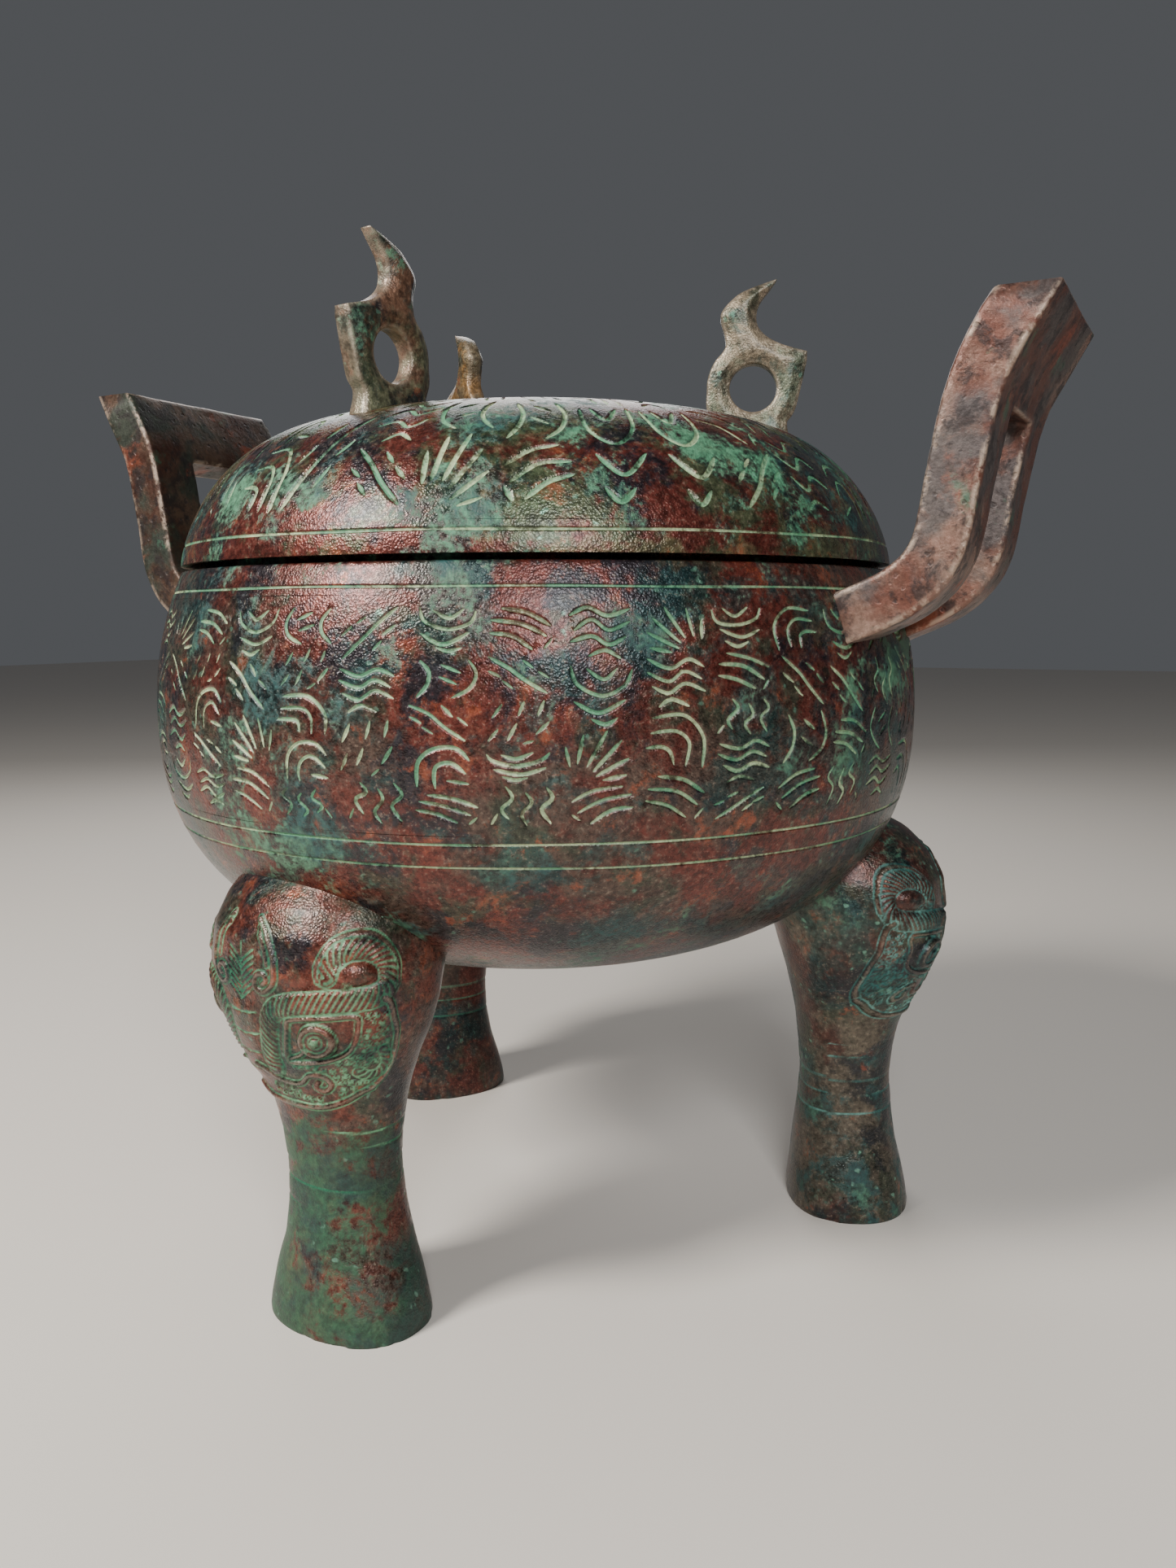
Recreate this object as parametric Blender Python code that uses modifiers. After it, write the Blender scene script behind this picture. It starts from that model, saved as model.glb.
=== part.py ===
"""Bronze ding: a lidded tripod cauldron with two upright handles.

The vessel is one casting (bowl, two handles, three hoofed legs) and the lid is another
(a flattened dome with three hooked ring knobs). Metres, +Z up. The part is modelled round
the bowl's axis, with the handles along X, and then moved so that its box stands centred on
the origin.
"""
import math

import bmesh
import bpy
from mathutils import Matrix, Vector

# Lid
LID_RADIUS = 0.1500
LID_RISE = 0.0616
LID_SHOULDER = 5.0
LID_CROWN = 1.45
LID_WALL = 0.0036
LID_SKIRT = 0.0050
LID_SKIRT_WALL = 0.0040
LID_GAP = 0.0024

# Bowl, with its lip just inside the lid's edge
BELLY_RADIUS = 0.1617
BELLY_HEIGHT = 0.2260
BOWL_BOTTOM = 0.1180
BOWL_FULLNESS = 2.5
LIP_STEP = 0.0001
LIP_RADIUS = LID_RADIUS - LIP_STEP
LIP_HEIGHT = 0.2812
BOWL_WALL = 0.0042

# Upstanding flange inside the bowl's lip, which the lid drops over
FLANGE_WALL = 0.0042
FLANGE_BLEND = 0.0110
SEAT_CLEARANCE = 0.0006

# Incised border lines: below the lip, two below the inscribed band, one above the lid's edge
LINE_WIDTH = 0.0024
LINE_DEPTH = 0.0010
LIP_LINE_DROP = 0.0082
BAND_LINE_HEIGHTS = (0.1895, 0.1811)
LID_LINE_RISE = 0.0077

# Handles
HANDLE_WIDTH = 0.0930
HANDLE_RAIL_WIDTH = 0.0260
HANDLE_THICKNESS = 0.0195
HANDLE_BRIDGE = 0.0330
HANDLE_ROOT_DROP = 0.0190
HANDLE_RISE = 0.1070
HANDLE_STANDOFF = 0.0350
HANDLE_FLARE = 0.0235
HANDLE_EDGE = 0.0012

# Legs
LEG_CIRCLE_RADIUS = 0.1390
LEG_HEIGHT = 0.1780
LEG_AZIMUTH = math.radians(23.7)
LEG_FULLNESS = 2.3
LEG_COUNT = 3

# The leg between the handles was cast less evenly than the others: how far each stands in from the circle,
# its turn round the bowl, its sideways lean as a share of its height, and its depth as a share of the others'
LEG_INSETS = (0.0, 0.0, 0.0126)
LEG_TURNS = (0.0, 0.0, math.radians(0.7))
LEG_LEANS = (0.0, 0.0, -0.050)
LEG_DEPTHS = (1.0, 1.0, 0.92)

# Leg sections, as shares of the leg's height: height, shift outwards, half depth, half width
LEG_SECTIONS = (
    (0.000, 0.006, 0.153, 0.188),
    (0.040, 0.004, 0.149, 0.182),
    (0.095, 0.001, 0.140, 0.168),
    (0.165, -0.005, 0.128, 0.144),
    (0.245, -0.006, 0.118, 0.130),
    (0.330, -0.006, 0.112, 0.126),
    (0.410, -0.006, 0.118, 0.135),
    (0.475, -0.004, 0.128, 0.151),
    (0.530, 0.001, 0.143, 0.172),
    (0.585, 0.008, 0.163, 0.198),
    (0.640, 0.011, 0.182, 0.227),
    (0.705, 0.011, 0.202, 0.251),
    (0.785, 0.000, 0.219, 0.258),
    (0.855, -0.014, 0.225, 0.250),
    (0.912, -0.040, 0.222, 0.230),
    (0.962, -0.072, 0.203, 0.200),
    (1.000, -0.107, 0.160, 0.160),
)
LEG_SIDES = 18

# Knobs
KNOB_CIRCLE_RADIUS = 0.0922
KNOB_AZIMUTH = math.radians(22.8)
KNOB_RING_RADIUS = 0.0195
KNOB_HOLE_RADIUS = 0.0100
KNOB_THICKNESS = 0.0104
KNOB_LIFT = 0.0174
KNOB_COUNT = 3

# Knob outline above and below the ring, as shares of the ring's radius
KNOB_HORN = (
    (-0.60, 0.89), (-0.63, 1.16), (-0.71, 1.55), (-0.40, 1.91), (-0.06, 2.08), (0.47, 2.25),
    (0.34, 2.07), (0.11, 1.76), (0.05, 1.42), (0.17, 1.17), (0.52, 0.93), (1.14, 0.74), (1.14, 0.55),
)
KNOB_FOOT = ((0.92, -0.43), (0.74, -0.76), (0.86, -1.30), (-0.94, -1.30), (-0.88, -0.76), (-1.00, -0.40))

TURN_STEPS = 40
ARC_STEPS = 10
BORE_STEPS = 16
MERGE_DISTANCE = 0.00005
SHARP_ANGLE = math.radians(40)
CAVITY_HEADROOM = 0.0200


# Profile formulas

def bowl_radius(height):
    """Outer radius of the bowl at a height."""
    if height >= BELLY_HEIGHT:
        share = (height - BELLY_HEIGHT) / (LIP_HEIGHT - BELLY_HEIGHT)
        taper = 1.0 - (LIP_RADIUS / BELLY_RADIUS) ** 2
        return BELLY_RADIUS * math.sqrt(1.0 - taper * share ** 2)
    share = (BELLY_HEIGHT - height) / (BELLY_HEIGHT - BOWL_BOTTOM)
    return BELLY_RADIUS * max(0.0, 1.0 - share ** BOWL_FULLNESS) ** (1.0 / BOWL_FULLNESS)


def lid_edge_height():
    """Height of the lid's lower edge, a shadow gap above the lip."""
    return LIP_HEIGHT + LID_GAP


def lid_height(radius):
    """Height of the lid's outer surface at a radius."""
    share = 1.0 - min(1.0, radius / LID_RADIUS) ** LID_SHOULDER
    return lid_edge_height() + LID_RISE * share ** (1.0 / LID_CROWN)


def lid_radius(height):
    """Outer radius of the lid at a height."""
    share = 1.0 - ((height - lid_edge_height()) / LID_RISE) ** LID_CROWN
    return LID_RADIUS * share ** (1.0 / LID_SHOULDER)


def bowl_outline():
    """Outer profile of the bowl from the lip down to the bottom."""
    upper = [LIP_HEIGHT + (BELLY_HEIGHT - LIP_HEIGHT) * step / 4 for step in range(4)]
    points = [Vector((bowl_radius(height), height)) for height in upper]
    for step in range(ARC_STEPS + 1):
        angle = math.pi / 2 * step / ARC_STEPS
        reach = math.cos(angle) ** (2.0 / BOWL_FULLNESS)
        drop = math.sin(angle) ** (2.0 / BOWL_FULLNESS)
        points.append(Vector((BELLY_RADIUS * reach, BELLY_HEIGHT - (BELLY_HEIGHT - BOWL_BOTTOM) * drop)))
    points[-1].x = 0.0
    return points


def lid_outline():
    """Outer profile of the lid from the crown down to the edge."""
    points = [Vector((0.0, lid_edge_height() + LID_RISE))]
    for step in range(1, ARC_STEPS):
        angle = math.pi / 2 * step / ARC_STEPS
        radius = LID_RADIUS * math.sin(angle) ** (2.0 / LID_SHOULDER)
        points.append(Vector((radius, lid_height(radius))))
    points.append(Vector((LID_RADIUS, lid_edge_height())))
    return points


def inset(points, wall):
    """Move a top-to-bottom profile inwards by a wall's thickness."""
    moved = []
    for index, point in enumerate(points):
        before = points[max(index - 1, 0)]
        after = points[min(index + 1, len(points) - 1)]
        along = (after - before).normalized()
        moved.append(point + Vector((along.y, -along.x)) * wall)
    moved[0].x = max(moved[0].x, 0.0)
    return moved


def with_line(points, radius_at, height):
    """Add an incised line's three points to a profile that runs down."""
    half = LINE_WIDTH / 2
    groove = [Vector((radius_at(height + half), height + half)),
              Vector((radius_at(height) - LINE_DEPTH, height)),
              Vector((radius_at(height - half), height - half))]
    above = [point for point in points if point.y > height + half]
    below = [point for point in points if point.y < height - half]
    return above + groove + below


# Object makers

def material(name, colour, roughness):
    """Bronze finish for one casting."""
    finish = bpy.data.materials.new(name)
    finish.use_nodes = True
    shader = finish.node_tree.nodes["Principled BSDF"]
    shader.inputs["Base Color"].default_value = (*colour, 1.0)
    shader.inputs["Roughness"].default_value = roughness
    shader.inputs["Metallic"].default_value = 0.8
    return finish


def add_object(name, mesh, collection):
    """Link a mesh as an object."""
    made = bpy.data.objects.new(name, mesh)
    collection.objects.link(made)
    return made


def mark_cutter(made):
    """Keep a helper solid out of the model, with its round faces shaded smooth."""
    made.data.shade_smooth()
    made.data.set_sharp_from_angle(angle=SHARP_ANGLE)
    made.hide_render = True
    made.display_type = "WIRE"
    return made


def turned(name, points, collection):
    """Solid of revolution from a profile that ends on the axis at both ends."""
    mesh = bpy.data.meshes.new(name)
    edges = [(index, index + 1) for index in range(len(points) - 1)]
    mesh.from_pydata([(point.x, 0.0, point.y) for point in points], edges, [])
    made = add_object(name, mesh, collection)
    screw = made.modifiers.new("Turn", "SCREW")
    screw.steps = TURN_STEPS
    screw.render_steps = TURN_STEPS
    screw.use_merge_vertices = True
    screw.merge_threshold = MERGE_DISTANCE
    return made


def add_cavity(name, points, cutters):
    """Turned cutter, half a step round from the casting so that no edges coincide."""
    cavity = mark_cutter(turned(name, points, cutters))
    cavity.rotation_euler.z = math.pi / TURN_STEPS
    return cavity


def join(target, tool, operation):
    """Unite a solid with another, or cut it."""
    modifier = target.modifiers.new(f"{operation.title()} {tool.name}", "BOOLEAN")
    modifier.operation = operation
    modifier.object = tool
    modifier.solver = "EXACT"


def finish_casting(made, finish):
    """Give a casting its material, and even triangles on the faces that its cuts left."""
    made.data.materials.append(finish)
    facets = made.modifiers.new("Facets", "TRIANGULATE")
    facets.ngon_method = "BEAUTY"
    return made


def flat_plate(name, outlines, thickness, place, collection):
    """Plate of even thickness from closed outlines; the second and later ones are holes."""
    curve = bpy.data.curves.new(name, "CURVE")
    curve.dimensions = "2D"
    curve.fill_mode = "BOTH"
    curve.extrude = thickness / 2
    for outline in outlines:
        spline = curve.splines.new("POLY")
        spline.points.add(len(outline) - 1)
        for point, (across, up) in zip(spline.points, outline):
            point.co = (across, up, 0.0, 1.0)
        spline.use_cyclic_u = True
    guide = add_object(f"{name}_outline", curve, collection)
    guide.matrix_world = place
    bpy.context.view_layer.update()
    evaluated = guide.evaluated_get(bpy.context.evaluated_depsgraph_get())
    mesh = bpy.data.meshes.new_from_object(evaluated)
    bpy.data.objects.remove(guide)
    shape = bmesh.new()
    shape.from_mesh(mesh)
    bmesh.ops.remove_doubles(shape, verts=shape.verts, dist=MERGE_DISTANCE)
    bmesh.ops.recalc_face_normals(shape, faces=shape.faces)
    shape.to_mesh(mesh)
    shape.free()
    made = add_object(name, mesh, collection)
    made.matrix_world = place
    return mark_cutter(made)


def upright(azimuth):
    """Turn a plate drawn in XY so that X points outwards at an azimuth and Y points up."""
    return Matrix.Rotation(azimuth, 4, "Z") @ Matrix.Rotation(math.pi / 2, 4, "X")


# Handles

def handle_path():
    """Middle line of a rail, from inside the bowl's wall to the top."""
    root_x, root_z = LIP_RADIUS, LIP_HEIGHT - HANDLE_ROOT_DROP
    knee_x = root_x + HANDLE_STANDOFF
    keys = (
        (root_x - 0.40 * HANDLE_STANDOFF, root_z - 0.045 * HANDLE_RISE),
        (root_x, root_z),
        (root_x + 0.59 * HANDLE_STANDOFF, root_z + 0.09 * HANDLE_RISE),
        (root_x + 0.92 * HANDLE_STANDOFF, root_z + 0.22 * HANDLE_RISE),
        (knee_x + 0.10 * HANDLE_FLARE, root_z + 0.47 * HANDLE_RISE),
        (knee_x + 0.38 * HANDLE_FLARE, root_z + 0.745 * HANDLE_RISE),
        (knee_x + HANDLE_FLARE, root_z + HANDLE_RISE),
    )
    return smooth_through([Vector(key) for key in keys], 3)


def smooth_through(keys, steps):
    """Points of a smooth curve through key points, with some steps between each two."""
    points = []
    for index in range(len(keys) - 1):
        before = keys[max(index - 1, 0)]
        start, end = keys[index], keys[index + 1]
        after = keys[min(index + 2, len(keys) - 1)]
        for step in range(steps):
            share = step / steps
            pull_out = (end - before) * 0.5
            pull_in = (after - start) * 0.5
            points.append(start * (2 * share ** 3 - 3 * share ** 2 + 1)
                          + pull_out * (share ** 3 - 2 * share ** 2 + share)
                          + end * (3 * share ** 2 - 2 * share ** 3)
                          + pull_in * (share ** 3 - share ** 2))
    points.append(keys[-1])
    return points


def handle_outline():
    """Side outline of a handle, level at the top."""
    path = handle_path()
    half = HANDLE_THICKNESS / 2
    inner, outer = [], []
    for index, point in enumerate(path):
        along = (path[min(index + 1, len(path) - 1)] - path[max(index - 1, 0)]).normalized()
        across = Vector((along.y, -along.x)) * half
        if index == len(path) - 1:
            across = Vector((half / along.y, 0.0))
        inner.append(point - across)
        outer.append(point + across)
    return outer + inner[::-1]


def add_handle(index, cutters):
    """Upright handle: a bent plate with a window between its two rails."""
    place = upright(math.pi * index)
    plate = flat_plate(f"handle_{index}", [handle_outline()], HANDLE_WIDTH, place, cutters)
    top = LIP_HEIGHT - HANDLE_ROOT_DROP + HANDLE_RISE
    window_top = top - HANDLE_BRIDGE
    window_bottom = BELLY_HEIGHT
    near = 0.0
    far = LIP_RADIUS + HANDLE_STANDOFF + HANDLE_FLARE + HANDLE_THICKNESS
    window = [(near, window_bottom), (far, window_bottom), (far, window_top), (near, window_top)]
    window_width = HANDLE_WIDTH - 2 * HANDLE_RAIL_WIDTH
    cutter = flat_plate(f"window_{index}", [window], window_width, place, cutters)
    join(plate, cutter, "DIFFERENCE")
    bevel = plate.modifiers.new("Worn edges", "BEVEL")
    bevel.width = HANDLE_EDGE
    bevel.segments = 1
    bevel.limit_method = "ANGLE"
    bevel.angle_limit = math.radians(50)
    return plate


# Legs

def leg_section(height_share):
    """Shift, half depth and half width of a leg at a share of its height."""
    for low, high in zip(LEG_SECTIONS, LEG_SECTIONS[1:]):
        if height_share <= high[0]:
            share = (height_share - low[0]) / (high[0] - low[0])
            return [a + (b - a) * share for a, b in zip(low[1:], high[1:])]
    return list(LEG_SECTIONS[-1][1:])


def leg_point(height_share, angle, lift=0.0):
    """Point on a leg's surface; angle 0 faces outwards, and lift raises it off the surface."""
    shift, depth, width = leg_section(height_share)
    reach = abs(math.cos(angle)) ** LEG_FULLNESS + abs(math.sin(angle)) ** LEG_FULLNESS
    scale = reach ** (-1.0 / LEG_FULLNESS)
    out = LEG_CIRCLE_RADIUS + (shift + depth * scale * math.cos(angle)) * LEG_HEIGHT
    side = width * scale * math.sin(angle) * LEG_HEIGHT
    normal = Vector((math.cos(angle) / depth, math.sin(angle) / width, 0.0)).normalized()
    return Vector((out, side, height_share * LEG_HEIGHT)) + normal * lift


def add_leg_shaft(name, cutters):
    """Hoofed shaft with a swollen shoulder, lofted through the leg's sections."""
    shape = bmesh.new()
    rings = []
    for section in LEG_SECTIONS:
        angles = [2 * math.pi * side / LEG_SIDES for side in range(LEG_SIDES)]
        rings.append([shape.verts.new(leg_point(section[0], angle)) for angle in angles])
    for low, high in zip(rings, rings[1:]):
        for side in range(LEG_SIDES):
            after = (side + 1) % LEG_SIDES
            shape.faces.new((low[side], low[after], high[after], high[side]))
    shape.faces.new(rings[0][::-1])
    shape.faces.new(rings[-1])
    mesh = bpy.data.meshes.new(name)
    shape.to_mesh(mesh)
    shape.free()
    return mark_cutter(add_object(name, mesh, cutters))


def add_bead(name, centre, radius, cutters):
    """Small round boss of a mask."""
    shape = bmesh.new()
    bmesh.ops.create_icosphere(shape, subdivisions=2, radius=radius)
    bmesh.ops.translate(shape, verts=shape.verts, vec=centre)
    mesh = bpy.data.meshes.new(name)
    shape.to_mesh(mesh)
    shape.free()
    return mark_cutter(add_object(name, mesh, cutters))


def add_roll(name, path, radius, cutters):
    """Rounded ridge of a mask along a path."""
    curve = bpy.data.curves.new(name, "CURVE")
    curve.dimensions = "3D"
    curve.bevel_depth = radius
    curve.bevel_resolution = 0
    curve.use_fill_caps = True
    spline = curve.splines.new("POLY")
    spline.points.add(len(path) - 1)
    for point, place in zip(spline.points, path):
        point.co = (*place, 1.0)
    guide = add_object(f"{name}_path", curve, cutters)
    bpy.context.view_layer.update()
    evaluated = guide.evaluated_get(bpy.context.evaluated_depsgraph_get())
    mesh = bpy.data.meshes.new_from_object(evaluated)
    bpy.data.objects.remove(guide)
    shape = bmesh.new()
    shape.from_mesh(mesh)
    bmesh.ops.remove_doubles(shape, verts=shape.verts, dist=MERGE_DISTANCE)
    shape.to_mesh(mesh)
    shape.free()
    return mark_cutter(add_object(name, mesh, cutters))


def mask_features(name, cutters):
    """Large forms of the animal mask: nose, and a brow, an eye and a horn boss each side."""
    unit = LEG_HEIGHT
    nose_path = [leg_point(share, 0.0, -0.004 * unit) for share in (0.86, 0.80, 0.74, 0.68, 0.62)]
    features = [add_roll(f"{name}_nose", nose_path, 0.016 * unit, cutters),
                add_bead(f"{name}_nub", leg_point(0.690, 0.0, 0.006 * unit), 0.022 * unit, cutters)]
    for side, label in ((1, "left"), (-1, "right")):
        brow = ((0.640, 0.30), (0.715, 0.34), (0.752, 0.55), (0.762, 0.85), (0.772, 1.15))
        brow_path = [leg_point(share, side * angle, -0.004 * unit) for share, angle in brow]
        features.append(add_roll(f"{name}_brow_{label}", brow_path, 0.021 * unit, cutters))
        eye = leg_point(0.675, side * 0.68, -0.022 * unit)
        features.append(add_bead(f"{name}_eye_{label}", eye, 0.036 * unit, cutters))
        horn = leg_point(0.820, side * 0.92, -0.046 * unit)
        features.append(add_bead(f"{name}_horn_{label}", horn, 0.062 * unit, cutters))
    return features


def add_leg(index, cutters):
    """One leg with its mask, turned to its place."""
    name = f"leg_{index}"
    leg = add_leg_shaft(name, cutters)
    azimuth = LEG_AZIMUTH + 2 * math.pi * index / LEG_COUNT + LEG_TURNS[index]
    lean = Matrix.Identity(4)
    lean[0][0] = LEG_DEPTHS[index]
    lean[1][2] = LEG_LEANS[index]
    turn = (Matrix.Rotation(azimuth, 4, "Z") @ Matrix.Translation((LEG_CIRCLE_RADIUS - LEG_INSETS[index], 0.0, 0.0))
            @ lean @ Matrix.Translation((-LEG_CIRCLE_RADIUS, 0.0, 0.0)))
    for feature in mask_features(name, cutters):
        feature.data.transform(turn)
        join(leg, feature, "UNION")
    leg.data.transform(turn)
    return leg


# Castings

def flange_outer_radius():
    """Outer radius of the flange, a clearance inside the lid's skirt."""
    return LID_RADIUS - LID_SKIRT_WALL - SEAT_CLEARANCE


def flange_top():
    """Top of the flange, a clearance under the lid's ledge."""
    return lid_edge_height() + LID_SKIRT - SEAT_CLEARANCE


def build_vessel(collection, cutters, finish):
    """Bowl with its handles and legs as one casting, hollow inside."""
    outline = bowl_outline()
    outline = with_line(outline, bowl_radius, LIP_HEIGHT - LIP_LINE_DROP)
    for height in BAND_LINE_HEIGHTS:
        outline = with_line(outline, bowl_radius, height)
    mouth = flange_outer_radius()
    head = [Vector((0.0, flange_top())), Vector((mouth, flange_top())), Vector((mouth, LIP_HEIGHT))]
    vessel = turned("vessel", head + outline, collection)
    for index in range(2):
        join(vessel, add_handle(index, cutters), "UNION")
    for index in range(LEG_COUNT):
        join(vessel, add_leg(index, cutters), "UNION")
    throat = mouth - FLANGE_WALL
    inside = inset(bowl_outline(), BOWL_WALL)
    inside = [point for point in inside if point.y < LIP_HEIGHT - FLANGE_BLEND]
    inside[-1].x = 0.0
    neck = [Vector((0.0, flange_top() + CAVITY_HEADROOM)),
            Vector((throat, flange_top() + CAVITY_HEADROOM)),
            Vector((throat, LIP_HEIGHT - BOWL_WALL))]
    join(vessel, add_cavity("bowl_cavity", neck + inside, cutters), "DIFFERENCE")
    return finish_casting(vessel, finish)


def knob_outlines():
    """Knob plate outline with its ring hole, centred on the ring."""
    ring = KNOB_RING_RADIUS
    outer = [(across * ring, up * ring) for across, up in KNOB_HORN + KNOB_FOOT]
    for step in range(6):
        angle = math.radians(183 - 10 * step)
        outer.append((ring * math.cos(angle), ring * math.sin(angle)))
    hole = []
    for step in range(BORE_STEPS):
        angle = 2 * math.pi * step / BORE_STEPS
        hole.append((KNOB_HOLE_RADIUS * math.cos(angle), KNOB_HOLE_RADIUS * math.sin(angle)))
    return [outer, hole]


def build_lid(collection, cutters, finish):
    """Domed lid with a skirt that drops over the bowl's flange, and its knobs."""
    edge = lid_edge_height()
    outline = with_line(lid_outline(), lid_radius, edge + LID_LINE_RISE)
    lid = turned("lid", outline + [Vector((0.0, edge))], collection)
    lift = lid_height(KNOB_CIRCLE_RADIUS) + KNOB_LIFT
    for index in range(KNOB_COUNT):
        azimuth = KNOB_AZIMUTH + 2 * math.pi * index / KNOB_COUNT
        stand = Matrix.Translation((KNOB_CIRCLE_RADIUS * math.cos(azimuth),
                                    KNOB_CIRCLE_RADIUS * math.sin(azimuth), lift))
        knob = flat_plate(f"knob_{index}", knob_outlines(), KNOB_THICKNESS,
                          stand @ upright(azimuth), cutters)
        join(lid, knob, "UNION")
    inside = [point for point in inset(lid_outline(), LID_WALL) if point.y > edge + LID_SKIRT]
    inside[0].x = 0.0
    skirt = LID_RADIUS - LID_SKIRT_WALL
    ledge = min(inside[-1].x, flange_outer_radius() - FLANGE_WALL / 2)
    inside[-1].x = ledge
    foot = [Vector((ledge, edge + LID_SKIRT)), Vector((skirt, edge + LID_SKIRT)),
            Vector((skirt, edge - CAVITY_HEADROOM)), Vector((0.0, edge - CAVITY_HEADROOM))]
    join(lid, add_cavity("lid_cavity", inside + foot, cutters), "DIFFERENCE")
    return finish_casting(lid, finish)


def stand_on_origin(castings):
    """Move everything so that the part's box is centred on the origin, with its base at height zero."""
    bpy.context.view_layer.update()
    graph = bpy.context.evaluated_depsgraph_get()
    corners = [corner[:] for casting in castings for corner in casting.evaluated_get(graph).bound_box]
    low = Vector(min(corner[axis] for corner in corners) for axis in range(3))
    high = Vector(max(corner[axis] for corner in corners) for axis in range(3))
    shift = Matrix.Translation((-(low.x + high.x) / 2, -(low.y + high.y) / 2, -low.z))
    for made in bpy.data.objects:
        made.matrix_world = shift @ made.matrix_world


def main():
    """Model both castings."""
    for stale in list(bpy.data.objects):
        bpy.data.objects.remove(stale)
    collection = bpy.data.collections.new("bronze_ding")
    cutters = bpy.data.collections.new("cutters")
    bpy.context.scene.collection.children.link(collection)
    bpy.context.scene.collection.children.link(cutters)
    vessel = build_vessel(collection, cutters, material("vessel_bronze", (0.16, 0.07, 0.05), 0.42))
    lid = build_lid(collection, cutters, material("lid_bronze", (0.15, 0.08, 0.06), 0.40))
    stand_on_origin([vessel, lid])


main()
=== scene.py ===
"""Looks of a bronze ding: a lidded tripod cauldron with upright handles and patinated relief.

Every piece is modelled round the bowl's axis in metres, then moved with that axis into the
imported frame. The vessel is replaced by its bowl, handles and legs, the lid by its dome and knobs.
"""
import sys
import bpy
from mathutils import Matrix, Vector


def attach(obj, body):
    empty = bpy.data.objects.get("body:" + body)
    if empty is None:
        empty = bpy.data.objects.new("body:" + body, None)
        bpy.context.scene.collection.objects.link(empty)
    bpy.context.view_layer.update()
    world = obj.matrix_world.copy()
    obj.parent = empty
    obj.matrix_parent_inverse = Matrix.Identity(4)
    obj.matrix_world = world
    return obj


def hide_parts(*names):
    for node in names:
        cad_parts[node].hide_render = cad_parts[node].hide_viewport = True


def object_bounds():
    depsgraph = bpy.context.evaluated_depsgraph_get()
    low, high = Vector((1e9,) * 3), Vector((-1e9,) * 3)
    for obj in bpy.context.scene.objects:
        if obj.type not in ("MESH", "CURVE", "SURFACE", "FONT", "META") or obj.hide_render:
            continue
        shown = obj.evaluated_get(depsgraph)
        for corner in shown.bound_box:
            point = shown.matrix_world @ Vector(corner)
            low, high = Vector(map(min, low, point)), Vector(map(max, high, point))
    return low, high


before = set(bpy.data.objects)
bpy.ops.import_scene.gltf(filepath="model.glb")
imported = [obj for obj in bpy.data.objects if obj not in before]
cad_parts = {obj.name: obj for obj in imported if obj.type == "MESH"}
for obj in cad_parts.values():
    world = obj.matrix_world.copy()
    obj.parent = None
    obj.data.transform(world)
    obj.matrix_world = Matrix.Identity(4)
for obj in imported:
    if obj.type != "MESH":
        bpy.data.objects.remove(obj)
CAD_BOX = [list(corner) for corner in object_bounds()]

import logging
import math
from collections.abc import Callable
from dataclasses import dataclass, field
from enum import Enum

import bmesh
import bpy
import numpy as np
from mathutils import Matrix, Vector, noise
from mathutils.geometry import delaunay_2d_cdt

LOG = logging.getLogger("ding")
MM = 0.001
Outline = tuple[tuple[float, float], ...]
Keys = list[list[tuple[float, float]]]
Pair = tuple[tuple[float, float], tuple[float, float]]
Tint = tuple[float, float, float, float]


class Casting(Enum):
    """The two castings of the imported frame."""

    VESSEL = "vessel"
    LID = "lid"

    @property
    def slot(self) -> str:
        """Material slot of the casting."""
        return f"{self.value}_bronze"


class Channel(Enum):
    """Vertex values that the finishes read."""

    GROOVE = "groove"
    WEAR = "wear"
    DAMP = "damp"


# Profiles of the two castings

@dataclass(frozen=True)
class BowlProfile:
    """Outer form of the bowl, from the lip to the bottom."""

    belly_radius: float = 0.1617
    belly_height: float = 0.2260
    bottom: float = 0.1180
    fullness: float = 2.5
    lip_radius: float = 0.1499
    lip_height: float = 0.2812
    wall: float = 0.0042

    def radius(self, height: float) -> float:
        """Outer radius at a height.

        Args:
            height: Height in metres.

        Returns:
            The radius in metres.
        """
        if height >= self.belly_height:
            share = (height - self.belly_height) / (self.lip_height - self.belly_height)
            taper = 1.0 - (self.lip_radius / self.belly_radius) ** 2
            return self.belly_radius * math.sqrt(1.0 - taper * share ** 2)
        share = (self.belly_height - height) / (self.belly_height - self.bottom)
        return self.belly_radius * max(0.0, 1.0 - share ** self.fullness) ** (1.0 / self.fullness)

    def keep_outside(self, point: Vector) -> Vector:
        """Move a point that lies deeper than the middle of the wall out to it.

        Args:
            point: Point round the bowl's axis.

        Returns:
            The point, moved where it lay too deep.
        """
        reach = math.hypot(point.x, point.y)
        skin = self.wall / 2
        if point.z >= self.belly_height:
            limit = self.radius(min(point.z, self.lip_height)) - skin
            if 1e-9 < reach < limit:
                return Vector((point.x * limit / reach, point.y * limit / reach, point.z))
            return point
        depth = (self.belly_height - point.z) / (self.belly_height - self.bottom - skin)
        size = (reach / (self.belly_radius - skin)) ** self.fullness + depth ** self.fullness
        if 1e-9 < size < 1.0:
            grow = size ** (-1.0 / self.fullness)
            return Vector((point.x * grow, point.y * grow,
                           self.belly_height + (point.z - self.belly_height) * grow))
        return point


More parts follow.
